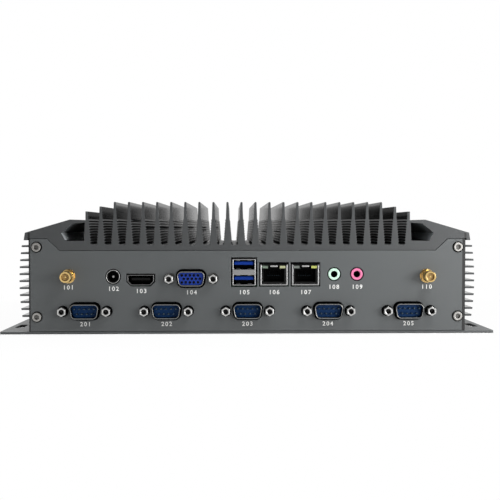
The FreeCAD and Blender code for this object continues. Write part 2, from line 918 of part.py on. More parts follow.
def housing_screws():
    screws = [socket_screw(x, z, front + d.head_recess, 1) for x, z in corner_places]
    screws += [socket_screw(x, z, back - d.head_recess, -1) for x, z in corner_places]
    group("panel_screws", screws)
    screws = []
    for x, y in base_screw_places:
        head = taper(d.base_head_radius - d.thread_play, d.screw_radius, (x, y, 0), d.base_thick)
        shank = rod(d.screw_radius, (x, y, d.base_thick), d.base_screw_long - d.base_thick)
        key = hexagon(d.hex_key, (x, y, 0), d.hex_key_deep / 2)
        screws.append(cut(fuse(head, shank), key))
    group("base_screws", screws)
    screws = []
    for x, y in block_screw_places:
        seat = d.top_underside - d.block_ear_thick
        head = rod(d.head_radius, (x, y, seat - d.head_high), d.head_high)
        shank = rod(d.screw_radius, (x, y, seat), d.block_screw_long)
        key = hexagon(d.hex_key, (x, y, seat - d.head_high), d.hex_key_deep)
        screws.append(cut(fuse(head, shank), key))
    group("spreader_screws", screws)


def board_mounts():
    """Two tiers of standoffs under the boards, and the screws on top."""
    lower, upper, screws = [], [], []
    tap = d.board_screw_radius + d.thread_clearance
    stud = serial_board_under - d.base_thick
    for x, y in standoff_places:
        short = hexagon(d.standoff_flats, (x, y, d.base_thick), stud)
        lower.append(cut(short, rod(tap, (x, y, d.base_thick), stud)))
        tall_high = main_board_under - d.serial_board_top
        tall = hexagon(d.standoff_flats, (x, y, d.serial_board_top), tall_high)
        tail = d.board_thick + stud - d.tap_runout
        foot = rod(d.board_screw_radius, (x, y, d.serial_board_top - tail), tail)
        bore = rod(tap, (x, y, main_board_under - d.board_screw_long), d.board_screw_long)
        upper.append(cut(fuse(tall, foot), bore))
        head = rod(d.head_radius, (x, y, d.main_board_top), d.board_head_high)
        reach = d.board_screw_long - d.tap_runout + d.board_thick
        shank = rod(d.board_screw_radius, (x, y, d.main_board_top - reach), reach)
        screws.append(fuse(head, shank))
    group("lower_standoffs", lower)
    group("upper_standoffs", upper)
    group("board_screws", screws)


def jackscrews():
    """Hexagonal jackscrews beside each D-shaped port, drilled and tapped for the plug."""
    screws = []
    head_long = d.jack_long + d.panel_thick
    for x, z in jack_places:
        for side in (-1, 1):
            at = x + side * d.jack_spacing / 2
            head = hexagon(d.jack_flats, (at, front - d.jack_long, z), head_long, "y")
            stud = rod(d.jack_stud_radius, (at, front_inside, z), d.jack_stud, "y")
            bore = rod(d.jack_stud_radius, (at, front - d.jack_long, z), d.jack_long - d.jack_floor, "y")
            screws.append(cut(fuse(head, stud), bore))
    group("jackscrews", screws)


# Boards and what they carry

def board(label, top):
    plate = block(centred(0, d.board_width), (board_front, board_back), (top - d.board_thick, top))
    radius = d.board_screw_radius + d.thread_clearance
    holes = [rod(radius, (x, y, top - d.board_thick), d.board_thick) for x, y in standoff_places]
    return piece(cut(plate, *holes), label)


def boards():
    board("main_board", d.main_board_top)
    board("serial_board", d.serial_board_top)
    along = centred(board_back - d.link_setback, d.link_deep)
    link = block(centred(0, d.link_wide), along, (d.serial_board_top, main_board_under))
    piece(link, "board_link")


def cooling():
    base = d.main_board_top
    die_low = base + d.processor_thick
    pad_low = die_low + d.die_thick
    block_low = pad_low + d.pad_thick
    substrate = block(centred(0, d.processor_wide), centred(processor_y, d.processor_wide), (base, die_low))
    die = block(centred(0, d.die_wide), centred(processor_y, d.die_wide), (die_low, pad_low))
    piece(fuse(substrate, die), "processor")
    sheet = block(centred(0, d.die_wide), centred(processor_y, d.die_wide), (pad_low, block_low))
    piece(sheet, "thermal_pad")
    across = centred(processor_y, d.block_wide)
    ear_low = d.top_underside - d.block_ear_thick
    column = block(centred(0, d.block_wide), across, (block_low, d.top_underside))
    ears = block(centred(0, d.block_ear_wide), across, (ear_low, d.top_underside))
    holes = [rod(d.screw_hole_radius, (x, y, ear_low), d.block_ear_thick) for x, y in block_screw_places]
    piece(cut(fuse(column, ears), *holes), "heat_spreader")


def edge_socket(across, mouth, high, lift, turned=False):
    """A socket with a groove for a card's edge; turned where the card lies along X."""
    base = d.main_board_top
    housing = [
        (across[0] - d.socket_end, across[1] + d.socket_end),
        (mouth, mouth + d.socket_deep),
        (base, base + high),
    ]
    groove = [across, (mouth, mouth + d.socket_grip), (base + lift, base + lift + d.card_thick)]
    if turned:
        housing[0], housing[1] = housing[1], housing[0]
        groove[0], groove[1] = groove[1], groove[0]
    return cut(block(*housing), block(*groove))


def cards():
    base = d.main_board_top
    memory_front = board_middle + d.memory_shift
    memory_edge = memory_front + d.memory_long
    across = centred(d.memory_x, d.memory_wide)
    mouth = memory_edge - d.socket_grip
    piece(edge_socket(across, mouth, d.memory_socket_high, d.memory_lift), "memory_socket")
    level = (base + d.memory_lift, base + d.memory_lift + d.card_thick)
    piece(block(across, (memory_front, memory_edge), level), "memory_module")
    level = (base + d.card_lift, base + d.card_lift + d.card_thick)
    drive_front = board_front + d.drive_setback
    across = (drive_front, drive_front + d.card_wide)
    drive_edge = d.drive_end_x + d.drive_long
    piece(block((d.drive_end_x, drive_edge), across, level), "solid_state_drive")
    drive_socket = edge_socket(across, drive_edge - d.socket_grip, d.card_socket_high, d.card_lift, True)
    across = centred(d.wireless_x, d.card_wide)
    piece(block(across, (wireless_edge - d.wireless_long, wireless_edge), level), "wireless_card")
    wireless_socket = edge_socket(across, wireless_edge - d.socket_grip, d.card_socket_high, d.card_lift)
    group("card_sockets", [drive_socket, wireless_socket])
    cell_low = base + d.holder_floor
    well_radius = d.cell_radius + d.holder_play
    at = (d.cell_x, board_middle + d.cell_shift)
    cup = rod(well_radius + d.holder_wall, (*at, base), d.holder_floor + d.cell_thick / 2)
    well = rod(well_radius, (*at, cell_low), d.cell_thick)
    piece(cut(cup, well), "cell_holder")
    piece(rod(d.cell_radius, (*at, cell_low), d.cell_thick), "coin_cell")


# Ports

def plug_port(name, x, z, half_top, board_top, face):
    """A D-shaped port: pressed metal shell with flange, and the moulded insert in it."""
    seat = front_inside
    flange_back = seat + d.shell_sheet
    shell = new_body(name + "_shell", x, 0, z)
    pad(shell, "XZ_Plane", [rectangle(0, 0, d.flange_wide, d.flange_high)], seat, flange_back)
    outline = plug_outline(half_top, d.shell_half_high, d.shell_round)
    pad(shell, "XZ_Plane", [outline], front - d.shell_proud, flange_back)
    mouth = plug_outline(half_top, d.shell_half_high, d.shell_round, -d.shell_sheet)
    pocket(shell, "XZ_Plane", [mouth], front - d.shell_proud, flange_back)
    bolt = d.jack_stud_radius + d.thread_play
    pocket(
        shell,
        "XZ_Plane",
        [(side * d.jack_spacing / 2, 0, bolt) for side in (-1, 1)],
        seat,
        flange_back,
    )
    insert = new_body(name + "_insert", x, 0, z)
    inner = plug_outline(half_top, d.shell_half_high, d.shell_round, -d.shell_sheet - d.insert_inset)
    pad(insert, "XZ_Plane", [inner], face, flange_back)
    half = d.insert_wide / 2
    top = d.flange_high / 2
    tail = [(-half, board_top - z), (half, board_top - z), (half, top), (-half, top)]
    pad(insert, "XZ_Plane", [tail], flange_back, flange_back + d.insert_back)
    return insert


def serial_ports():
    for index, x in enumerate(serial_columns, start=1):
        plug_port(
            f"serial_port_{index}", x, d.serial_z, d.shell_half_top, d.serial_board_top,
            front + d.insert_face,
        )
    pins = []
    for x in serial_columns:
        for count, row in ((5, 1), (4, -1)):
            for step in range(count):
                across = x + (step - (count - 1) / 2) * d.contact_pitch
                z = d.serial_z + row * d.contact_row / 2
                start = front + d.insert_face - d.contact_proud
                pins.append(hexagon(2 * d.contact_radius, (across, start, z), d.contact_proud, "y"))
    group("serial_pins", pins)


def monitor_port():
    insert = plug_port(
        "monitor_port", d.monitor_x, d.monitor_z, d.monitor_half_top, d.main_board_top,
        front + d.monitor_face,
    )
    holes = []
    for row, shift in ((1, -1), (0, 1), (-1, -1)):
        for step in range(-2, 3):
            across = (step + shift / 4) * d.monitor_hole_pitch
            holes.append((across, row * d.monitor_hole_row, d.monitor_hole_radius))
    pocket(insert, "XZ_Plane", holes, front + d.monitor_face, front + d.monitor_face + d.monitor_hole_deep)


def usb_port():
    low, high = d.main_board_top, d.main_board_top + d.usb_high
    mouth, rear = front - d.usb_proud, front + d.usb_deep
    sheet = d.usb_sheet
    case = block(centred(d.usb_x, d.usb_wide), (mouth, rear), (low, high))
    inner = centred(d.usb_x, d.usb_wide - 2 * sheet)
    cell_high = (d.usb_high - d.usb_divider) / 2 - sheet
    lower = (low + sheet, low + sheet + cell_high)
    upper = (high - sheet - cell_high, high - sheet)
    room = (mouth, rear - sheet)
    piece(cut(case, block(inner, room, lower), block(inner, room, upper)), "usb_shell")
    tongues = []
    for cell in (lower, upper):
        top = cell[1] - d.usb_tongue_drop
        tongue = block(
            centred(d.usb_x, d.usb_tongue_wide),
            (front + d.usb_tongue_setback, rear - sheet),
            (top - d.usb_tongue_thick, top),
        )
        rear_fill = block(inner, (mouth + d.usb_fill_setback, rear - sheet), cell)
        tongues.append(fuse(tongue, rear_fill))
    group("usb_tongues", tongues)


def lan_port(name, x):
    low, high = d.main_board_top, d.main_board_top + d.lan_high
    mouth, rear = front - d.lan_proud, front + d.lan_deep
    sheet = d.lan_sheet
    outer = block(centred(x, d.lan_wide), (mouth, rear), (low, high))
    inner = block(centred(x, d.lan_wide - 2 * sheet), (mouth, rear - sheet), (low + sheet, high - sheet))
    piece(cut(outer, inner), name + "_shell")
    core = block(
        centred(x, d.lan_wide - 2 * sheet), (front, rear - sheet), (low + sheet, high - sheet)
    )
    mouth_low = low + d.lan_mouth_low
    mouth_high = mouth_low + d.lan_mouth_high
    room = (front, front + d.lan_mouth_deep)
    cavity = block(centred(x, d.lan_mouth_wide), room, (mouth_low, mouth_high))
    latch = block(centred(x, d.lan_step_wide), room, (mouth_low, mouth_high + d.lan_step_high))
    pockets = [
        block(lamp_span(x, side), (front, front + d.lamp_long), lamp_level()) for side in (-1, 1)
    ]
    piece(cut(core, cavity, latch, *pockets), name + "_housing")


def lamp_span(x, side):
    reach = d.lan_wide / 2 - d.lan_sheet - d.lamp_inset - d.lamp_wide / 2
    return centred(x + side * reach, d.lamp_wide)


def lamp_level():
    top = d.main_board_top + d.lan_high - d.lan_sheet - d.lamp_drop
    return top - d.lamp_high, top


def lan_ports():
    places = (("lan_left", d.lan_left_x), ("lan_right", d.lan_right_x))
    for name, x in places:
        lan_port(name, x)
    lamps = []
    for name, x in places:
        for side in (-1, 1):
            run = (front - d.lamp_proud, front + d.lamp_long)
            lamps.append(block(lamp_span(x, side), run, lamp_level()))
    group("lan_lamps", lamps)


def video_outline(grow=0):
    """The video socket's outline: a rectangle with its two lower corners cut off."""
    grow = as_length(grow)
    half, high = d.video_wide / 2 + grow, d.video_high / 2 + grow
    chamfer = d.video_chamfer + grow * CHAMFER_GROWTH
    return [
        (chamfer - half, -high),
        (half - chamfer, -high),
        (half, chamfer - high),
        (half, high),
        (-half, high),
        (-half, chamfer - high),
    ]


def video_port():
    shell = new_body("video_shell", d.video_x, 0, d.video_z)
    mouth, rear = front - d.video_proud, front + d.video_deep
    pad(shell, "XZ_Plane", [video_outline()], mouth, rear)
    pocket(shell, "XZ_Plane", [video_outline(-d.video_sheet)], mouth, rear - d.video_sheet)
    leg_high = d.video_z - d.video_high / 2 - d.main_board_top
    leg_middle = -(d.video_high + leg_high) / 2
    legs = [
        rectangle(side * d.video_wide / 4, leg_middle, d.video_leg_wide, leg_high) for side in (-1, 1)
    ]
    pad(shell, "XZ_Plane", legs, front_inside + d.video_leg_setback, rear)
    tongue_z = (
        d.video_z + d.video_tongue_lift - d.video_tongue_thick / 2,
        d.video_z + d.video_tongue_lift + d.video_tongue_thick / 2,
    )
    tongue = block(
        centred(d.video_x, d.video_tongue_wide),
        (front + d.video_tongue_setback, rear - d.video_sheet),
        tongue_z,
    )
    piece(tongue, "video_tongue")


def round_jack(label, x, z, radius, body_wide, deep, bore, bore_deep):
    """A jack for a round plug: square body on the board, round nose through the panel."""
    tip = front - d.round_proud
    shoulder = front_inside + d.round_step
    nose = rod(radius, (x, tip, z), shoulder - tip, "y")
    rear = block(centred(x, body_wide), (shoulder, front + deep), (d.main_board_top, z + body_wide / 2))
    hole = rod(bore, (x, tip, z), bore_deep + d.round_proud, "y")
    return piece(cut(fuse(nose, rear), hole), label)


def round_jacks():
    round_jack(
        "power_jack", d.power_jack_x, d.power_jack_z, d.power_jack_radius,
        d.power_jack_body, d.power_jack_deep, d.power_jack_bore, d.power_jack_bore_deep,
    )
    start = (d.power_jack_x, front + d.power_pin_setback, d.power_jack_z)
    pin = rod(d.power_pin_radius, start, d.power_jack_bore_deep - d.power_pin_setback, "y")
    piece(pin, "power_jack_pin")
    for label, x in (("green_audio_jack", d.green_jack_x), ("pink_audio_jack", d.pink_jack_x)):
        round_jack(
            label, x, d.audio_z, d.audio_radius, d.audio_body, d.audio_deep, d.audio_bore, d.audio_bore_deep
        )


def antenna_connectors():
    nuts, washers = [], []
    for name, side in (("left", -1), ("right", 1)):
        x, z = side * d.antenna_x, d.antenna_z
        tip = front - d.antenna_proud
        washer_front = front - d.antenna_washer_thick
        nut_front = washer_front - d.antenna_nut_high
        neck_front = nut_front - d.antenna_relief
        thread = rod(d.antenna_thread_radius, (x, tip, z), neck_front - tip, "y")
        neck = rod(d.antenna_neck_radius, (x, neck_front, z), front_inside - neck_front, "y")
        collar = hexagon(d.antenna_flats, (x, front_inside, z), d.antenna_collar_thick, "y")
        collar_back = front_inside + d.antenna_collar_thick
        tail = rod(d.antenna_tail_radius, (x, collar_back, z), d.antenna_tail, "y")
        bore = rod(d.antenna_bore, (x, tip, z), d.antenna_bore_deep, "y")
        pin = rod(d.antenna_pin_radius, (x, tip + d.antenna_pin_setback, z), d.antenna_bore_deep, "y")
        piece(fuse(cut(fuse(thread, neck, collar, tail), bore), pin), f"{name}_antenna_connector")
        washer_hole = d.antenna_thread_radius + d.antenna_hole_play
        ring = rod(d.antenna_washer_radius, (x, washer_front, z), d.antenna_washer_thick, "y")
        washers.append(cut(ring, rod(washer_hole, (x, washer_front, z), d.antenna_washer_thick, "y")))
        nut_bore = d.antenna_neck_radius + d.thread_clearance
        nut = hexagon(d.antenna_flats, (x, nut_front, z), d.antenna_nut_high, "y")
        nuts.append(cut(nut, rod(nut_bore, (x, nut_front, z), d.antenna_nut_high, "y")))
    group("antenna_nuts", nuts)
    group("antenna_washers", washers)


def lead_route(points, bend):
    """A path of straight runs joined by tangent arcs through the given corners."""
    edges = []
    start = points[0]
    for before, corner, after in zip(points, points[1:], points[2:]):
        into = (corner - before).normalize()
        out = (after - corner).normalize()
        turn = into.getAngle(out)
        trim = bend * math.tan(turn / 2)
        arc_start, arc_end = corner - into * trim, corner + out * trim
        middle_way = (out - into).normalize()
        arc_middle = corner + middle_way * (bend / math.cos(turn / 2) - bend)
        edges.append(Part.LineSegment(start, arc_start).toShape())
        edges.append(Part.Arc(arc_start, arc_middle, arc_end).toShape())
        start = arc_end
    edges.append(Part.LineSegment(start, points[-1]).toShape())
    return Part.Wire(edges)


def antenna_leads():
    """Thin coaxial leads from the wireless card to the antenna connectors."""
    tail_end = (front_inside + d.antenna_collar_thick + d.antenna_tail).value
    card_top = (d.main_board_top + d.card_lift + d.card_thick).value
    plug_high = d.lead_plug_high.value
    height = d.antenna_z.value
    card_y = (wireless_edge - d.wireless_long / 2).value
    bend = d.lead_bend.value
    solids = []
    for side, setback in ((-1, d.lead_cross_left), (1, d.lead_cross_right)):
        cross = (board_middle - setback).value
        x_end = (d.wireless_x + side * d.lead_spacing / 2).value
        points = [
            Vector(side * d.antenna_x.value, tail_end, height),
            Vector(side * d.antenna_x.value, cross, height),
            Vector(x_end, cross + d.lead_turn_back.value, height),
            Vector(x_end, card_y, card_top + plug_high - d.lead_radius.value),
        ]
        path = lead_route(points, bend)
        circle = Part.Wire(Part.makeCircle(d.lead_radius.value, points[0], Vector(0, 1, 0)))
        lead = path.makePipeShell([circle], True, False)
        plug = Part.makeCylinder(d.lead_plug_radius.value, plug_high, Vector(x_end, card_y, card_top))
        solids.append(lead.fuse(plug))
    leads = doc.addObject("Part::Feature", "leads")
    leads.Shape = Part.Compound(solids)
    piece(leads, "antenna_leads")


# Service side

def power_button():
    x, z = d.button_x, d.button_z
    hole = d.button_radius + d.button_play
    lip_front = back + d.bezel_thick
    flange = rod(d.bezel_radius, (x, back, z), d.bezel_thick, "y")
    sleeve = rod(d.bezel_sleeve, (x, back - d.bezel_deep, z), d.bezel_deep, "y")
    bore_deep = d.button_deep + d.button_room
    bore = rod(hole, (x, lip_front - bore_deep, z), bore_deep, "y")
    piece(cut(fuse(flange, sleeve), bore), "button_bezel")
    cap = rod(d.button_radius, (x, lip_front + d.button_proud - d.button_deep, z), d.button_deep, "y")
    piece(cap, "power_button")
    lamps = []
    for side in (-1, 1):
        at = d.lamp_x + side * d.lamp_spacing / 2
        lamps.append(rod(d.lamp_radius, (at, back - d.lamp_deep, z), d.lamp_deep + d.lamp_dome, "y"))
    group("status_lamps", lamps)


def check_and_write():
    """Stop on any failed feature, then write each sub-part's solid."""
    doc.recompute()
    for item in doc.Objects:
        if {"Invalid", "Error"} & set(item.State):
            raise RuntimeError(f"{item.Label} failed: {item.State}")
    os.makedirs("parts", exist_ok=True)
    for item in pieces:
        shape = item.Shape
        if shape.isNull() or not shape.isValid() or not shape.Solids:
            raise RuntimeError(f"{item.Label} has no valid solid")
        shape.exportStep(f"parts/{item.Label}.step")
    print(len(pieces), "sub-parts written")


base_plate()
side_heatsink("left_side_heatsink", -1)
side_heatsink("right_side_heatsink", 1)
top_heatsink()
port_panel()
service_panel()
housing_screws()
board_mounts()
jackscrews()
boards()
cooling()
cards()
serial_ports()
monitor_port()
usb_port()
lan_ports()
video_port()
round_jacks()
antenna_connectors()
antenna_leads()
power_button()
check_and_write()
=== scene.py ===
import math

import bmesh
import bpy
from mathutils import Matrix, Vector


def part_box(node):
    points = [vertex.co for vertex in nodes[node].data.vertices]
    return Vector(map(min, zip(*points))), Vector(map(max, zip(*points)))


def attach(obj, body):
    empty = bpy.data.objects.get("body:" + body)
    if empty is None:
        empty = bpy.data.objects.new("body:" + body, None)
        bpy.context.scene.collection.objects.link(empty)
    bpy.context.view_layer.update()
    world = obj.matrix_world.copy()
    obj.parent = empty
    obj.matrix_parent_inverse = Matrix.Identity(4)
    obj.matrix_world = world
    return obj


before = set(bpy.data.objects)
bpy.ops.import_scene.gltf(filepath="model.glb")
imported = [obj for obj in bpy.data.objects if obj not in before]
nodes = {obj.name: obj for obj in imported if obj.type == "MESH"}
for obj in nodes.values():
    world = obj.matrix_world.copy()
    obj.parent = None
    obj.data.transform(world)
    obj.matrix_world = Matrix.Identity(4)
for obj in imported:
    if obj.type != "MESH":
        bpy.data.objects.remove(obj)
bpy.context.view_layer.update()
scene = bpy.context.scene
mm = 0.001
print("frame loaded:", len(nodes), "nodes")


# ---- materials as expressions

class Flow:
    # a value that travels between nodes; arithmetic on it adds Math nodes
    def __init__(self, paint, socket):
        self.paint = paint
        self.socket = socket

    def combine(self, operation, first, second):
        return self.paint.node("Math", {"operation": operation}, {0: first, 1: second})

    def __add__(self, other):
        return self.combine("ADD", self, other)

    def __radd__(self, other):
        return self.combine("ADD", other, self)

    def __sub__(self, other):
        return self.combine("SUBTRACT", self, other)

    def __rsub__(self, other):
        return self.combine("SUBTRACT", other, self)

    def __mul__(self, other):
        return self.combine("MULTIPLY", self, other)

    def __rmul__(self, other):
        return self.combine("MULTIPLY", other, self)

    def __lt__(self, other):
        return self.combine("LESS_THAN", self, other)

    def __gt__(self, other):
        return self.combine("GREATER_THAN", self, other)

    def __abs__(self):
        return self.paint.node("Math", {"operation": "ABSOLUTE"}, {0: self})


class Paint:
    def __init__(self, name, holder=None):
        self.material = holder or bpy.data.materials.new(name)
        self.material.use_nodes = True
        self.tree = self.material.node_tree
        self.tree.nodes.clear()

    def node(self, kind, settings=None, sockets=None, out=0):
        made = self.tree.nodes.new("ShaderNode" + kind)
        for name, value in (settings or {}).items():
            if name == "stops":
                ramp = made.color_ramp
                while len(ramp.elements) < len(value):
                    ramp.elements.new(1.0)
                for spot, (position, colour) in zip(ramp.elements, value):
                    spot.position = position
                    spot.color = (*colour, 1)
            elif name == "interpolation":
                made.color_ramp.interpolation = value
            else:
                setattr(made, name, value)
        for name, value in (sockets or {}).items():
            if isinstance(value, Flow):
                self.tree.links.new(value.socket, made.inputs[name])
            else:
                made.inputs[name].default_value = value
        return Flow(self, made.outputs[out]) if len(made.outputs) else made

    def place(self):
        return self.node("TexCoord", out="Object")

    def axis(self, index):
        # 0, 1 or 2 for the distance along X, Y or Z in millimetres
        return self.node("SeparateXYZ", None, {0: self.place()}, index) * (1 / mm)

    def facing(self, index, least):
        # 1 where the surface faces along X, Y or Z by more than the least share
        return abs(self.node("SeparateXYZ", None, {0: self.node("TexCoord", out="Normal")}, index)) > least

    def slide(self, value, low, high):
        # 0 at low, 1 at high
        return self.node("MapRange", None, {"Value": value, "From Min": low, "From Max": high})

    def noise(self, size, detail=2.0, stretch=(1, 1, 1)):
        place = self.node("Mapping", None, {"Vector": self.place(), "Scale": stretch})
        return self.node("TexNoise", None, {"Vector": place, "Scale": 1 / size, "Detail": detail})

    def blend(self, factor, first, second):
        made = self.node("Mix", {"data_type": "RGBA"}, {0: factor}, 2)
        for slot, colour in ((6, first), (7, second)):
            if isinstance(colour, Flow):
                self.tree.links.new(colour.socket, made.socket.node.inputs[slot])
            else:
                made.socket.node.inputs[slot].default_value = (*colour, 1)
        return made

    def bump(self, height, distance):
        return self.node("Bump", None, {"Height": height, "Distance": distance})

    def output(self, shader, kind="OutputMaterial"):
        self.node(kind, None, {0: shader})
        return self.material

    def shader(self, **sockets):
        named = {name.replace("_", " "): value for name, value in sockets.items()}
        return self.node("BsdfPrincipled", None, named)

    def finish(self, **sockets):
        return self.output(self.shader(**sockets))


def tint(colour, share):
    return tuple(min(1.0, part * share) for part in colour)


def paintDepthShade(paint, look, colour):
    # painted shade: behind the stated depth from an end face of the body, the colour falls to its dark share,
    # standing in for the shade in recesses, cut walls and behind the panel
    if "shown" not in look:
        return colour
    lit = paint.slide(abs(paint.axis(1)), look["hidden"], look["shown"])
    if "flange" in look:
        # the ends of a flange that lies further back show too
        flange = look["flange"]
        ends = abs(paint.axis(0) - flange["middle"]) > flange["half"]
        lit = lit + (abs(paint.axis(1)) < flange["depth"]) * paint.facing(1, flange["facing"]) * ends
    return paint.blend(lit, tint(look["colour"], look["deep"]), colour)


def shadeFlanks(paint, look, colour):
    # painted shade on the fins' flanks, darkest in the grooves of the serration, with painted highlights on
    # the crests of the serration
    fins = look["flanks"]
    flank = paint.facing(0, fins["facing"]) * (abs(paint.axis(0)) < fins["half"])
    pitches = (fins["grooveTop"] - paint.axis(2)) * (1 / fins["groovePitch"])
    wave = paint.node("Math", {"operation": "PINGPONG"}, {0: pitches, 1: 0.5})
    crest = paint.slide(wave, *fins["crest"])
    ribbed = flank * (pitches > 0.0)
    # painted shade for the grooves, painted highlight for the crests
    dark, pale = tint(look["colour"], fins["grooveShade"]), tint(look["colour"], fins["crestShade"])
    colour = paint.blend(flank, colour, tint(look["colour"], fins["shade"]))
    colour = paint.blend(ribbed, colour, paint.blend(crest, dark, pale))
    smoother = flank * (fins["rough"] - look["rough"])
    matt = flank * fins["matt"] + ribbed * (1 - crest) * fins["grooveMatt"]
    return colour, smoother, matt


def shadePocket(paint, look, colour):
    # painted light and shade in the long pocket of each shoulder: its walls painted far paler than the coat,
    # less pale above its bend, and dark along its floor
    pocket = look["pocket"]
    across, up = abs(paint.axis(0)), paint.axis(2)
    inside = (across > pocket["inner"]) * (across < pocket["outer"]) * (up < pocket["roof"])
    inside = inside * (abs(paint.axis(1)) < pocket["end"])
    colour = paint.blend(inside, colour, tint(look["colour"], pocket["shade"]))
    colour = paint.blend(inside * (up > pocket["bend"]), colour, tint(look["colour"], pocket["upperShade"]))
    return paint.blend(inside * (up < pocket["floor"]), colour, tint(look["colour"], pocket["floorShade"]))


def shadeLip(paint, look, colour):
    # painted shade: a dark strip on the end face at the joint between the shoulder and its outer lip
    lip = look["lip"]
    across = abs(paint.axis(0))
    line = (across > lip["inner"]) * (across < lip["outer"]) * (paint.axis(2) < lip["below"])
    return paint.blend(line * paint.facing(1, lip["facing"]), colour, tint(look["colour"], lip["shade"]))


def shadeWall(paint, look, colour):
    # painted shade on the end of the side wall, sunk behind the panel's edge
    wall = look["wall"]
    sunk = (abs(paint.axis(0)) < wall["half"]) * (abs(paint.axis(1)) > wall["depth"])
    return paint.blend(sunk, colour, tint(look["colour"], wall["shade"]))


def shadeSlots(paint, look, colour):
    # painted shade on the cut walls of the slots in the flanges
    slots = look["slots"]
    inside = [abs(abs(paint.axis(index)) - slots["middle"][index]) < slots["half"][index] for index in (0, 1)]
    return paint.blend(inside[0] * inside[1], colour, tint(look["colour"], slots["shade"]))


def shadeEdge(paint, look, colour):
    # painted shade along the panel's side edges
    edge = look["edge"]
    across = paint.axis(0)
    outside = (across < edge["left"]) + (across > edge["right"])
    return paint.blend(outside, colour, tint(look["colour"], edge["shade"]))


# painted light and shade at the places that a look lists
paintedPlaceShades = {
    "pocket": shadePocket, "lip": shadeLip, "wall": shadeWall, "slots": shadeSlots, "edge": shadeEdge,
}


def coatedMetal(name, look):
    # a fine matt coat: slight drift of colour, grain, and drawn lines along an extrusion
    paint = Paint(name)
    drift = paint.noise(look["driftSize"], 3.0)
    grain = paint.noise(look["grainSize"])
    lines = paint.noise(look["lineSize"], stretch=look["lineStretch"])
    rough = look["rough"] + (lines - 0.5) * look["roughSpread"]
    darker, paler = [tint(look["colour"], 1 + side * look["drift"]) for side in (-1, 1)]
    colour = paintDepthShade(paint, look, paint.blend(drift, darker, paler))
    matt = None
    if "flanks" in look:
        colour, smoother, matt = shadeFlanks(paint, look, colour)
        rough = rough + smoother
    for place, shade in paintedPlaceShades.items():
        if place in look:
            colour = shade(paint, look, colour)
    bump = paint.bump(lines * look["lineShare"] + grain * (1 - look["lineShare"]), look["grainDepth"])
    shader = paint.shader(Base_Color=colour, Roughness=rough, Specular_IOR_Level=look["shine"], Normal=bump)
    if matt is not None:
        # part of the flanks' gloss is lost between the fins
        plain = paint.shader(Base_Color=colour, Roughness=1.0, Specular_IOR_Level=0.0)
        shader = paint.node("MixShader", None, {0: matt, 1: shader, 2: plain})
    return paint.output(shader)


def brightMetal(name, look):
    # plated metal: smudged roughness and fine scratches
    paint = Paint(name)
    smudge = paint.noise(look["smudgeSize"], 3.0)
    scratch = paint.noise(look["scratchSize"], stretch=look["stretch"])
    colour = paint.blend(smudge, tint(look["colour"], look["smudgeShade"]), look["colour"])
    colour = paintDepthShade(paint, look, colour)
    if "roof" in look:
        # painted shade: the top of the sheet, in the shade of the panel, is painted near black
        colour = paint.blend(paint.axis(2) > look["roof"], colour, tint(look["colour"], look["roofShade"]))
    rough = look["rough"] + (smudge - 0.5) * look["roughSpread"]
    bump = paint.bump(scratch, look["scratchDepth"])
    return paint.finish(Base_Color=colour, Roughness=rough, Metallic=1.0, Normal=bump)


def mouldedPlastic(name, look):
    paint = Paint(name)
    drift = paint.noise(look["driftSize"])
    grain = paint.noise(look["grainSize"])
    low, high = look["drift"]
    colour = paint.blend(drift, tint(look["colour"], low), tint(look["colour"], high))
    colour = paintDepthShade(paint, look, colour)
    rough = look["rough"] + (grain - 0.5) * look["roughSpread"]
    bump = paint.bump(grain, look["grainDepth"])
    return paint.finish(Base_Color=colour, Roughness=rough, Specular_IOR_Level=look["shine"], Normal=bump)


def lampPlastic(name, look):
    # four lamp windows in a row along X, each with its own tone
    paint = Paint(name)
    start, end = look["span"]
    haze = paint.noise(look["hazeSize"])
    at = paint.slide(paint.axis(0), start, end)
    tone = paint.node("ValToRGB", {"stops": look["stops"], "interpolation": "CONSTANT"}, {0: at})
    colour = paint.blend(haze * look["haze"], tone, look["veil"])
    rough = look["rough"] + haze * look["roughSpread"]
    return paint.finish(Base_Color=colour, Roughness=rough, Specular_IOR_Level=look["shine"])


def circuitBoard(name, look):
    paint = Paint(name)
    grid = {"Vector": paint.place(), "Scale": 1 / look["cell"]}
    cells = paint.node("TexVoronoi", {"distance": "CHEBYCHEV"}, grid)
    weave = paint.noise(look["weaveSize"], 1.0)
    colour = paint.blend(cells, look["colour"], tint(look["colour"], look["cellShade"]))
    rough = look["rough"] + weave * look["roughSpread"]
    return paint.finish(Base_Color=colour, Roughness=rough, Normal=paint.bump(weave, look["weaveDepth"]))


# depths, places and halves are millimetres from the middle of the body, shades are shares of the colour
# shown and hidden are the depths where the painted depth shade is none and full, deep is its share of the
# colour
coatLook = {
    "colour": (0.089, 0.096, 0.098), "drift": 0.05, "driftSize": 30 * mm, "grainSize": 0.35 * mm,
    "lineSize": 0.8 * mm, "lineStretch": (1, 1, 1), "lineShare": 0.3,
    "grainDepth": 0.010 * mm, "rough": 0.45, "roughSpread": 0.10, "shine": 0.5,
}
panelLook = {
    **coatLook, "shown": 74.97, "hidden": 74.82, "deep": 0.03,
    "edge": {"left": -124.05, "right": 123.1, "shade": 0.06},
}
baseLook = {
    **coatLook, "colour": (0.080, 0.086, 0.088),
    "slots": {"middle": (136.0, 50.0), "half": (2.42, 7.58), "shade": 0.04},
}
finLook = {
    **coatLook, "colour": (0.080, 0.085, 0.087), "drift": 0.06, "lineSize": 0.5 * mm,
    "lineStretch": (1, 0.02, 1), "lineShare": 0.6, "grainDepth": 0.0015 * mm,
    "rough": 0.42, "roughSpread": 0.04,
}
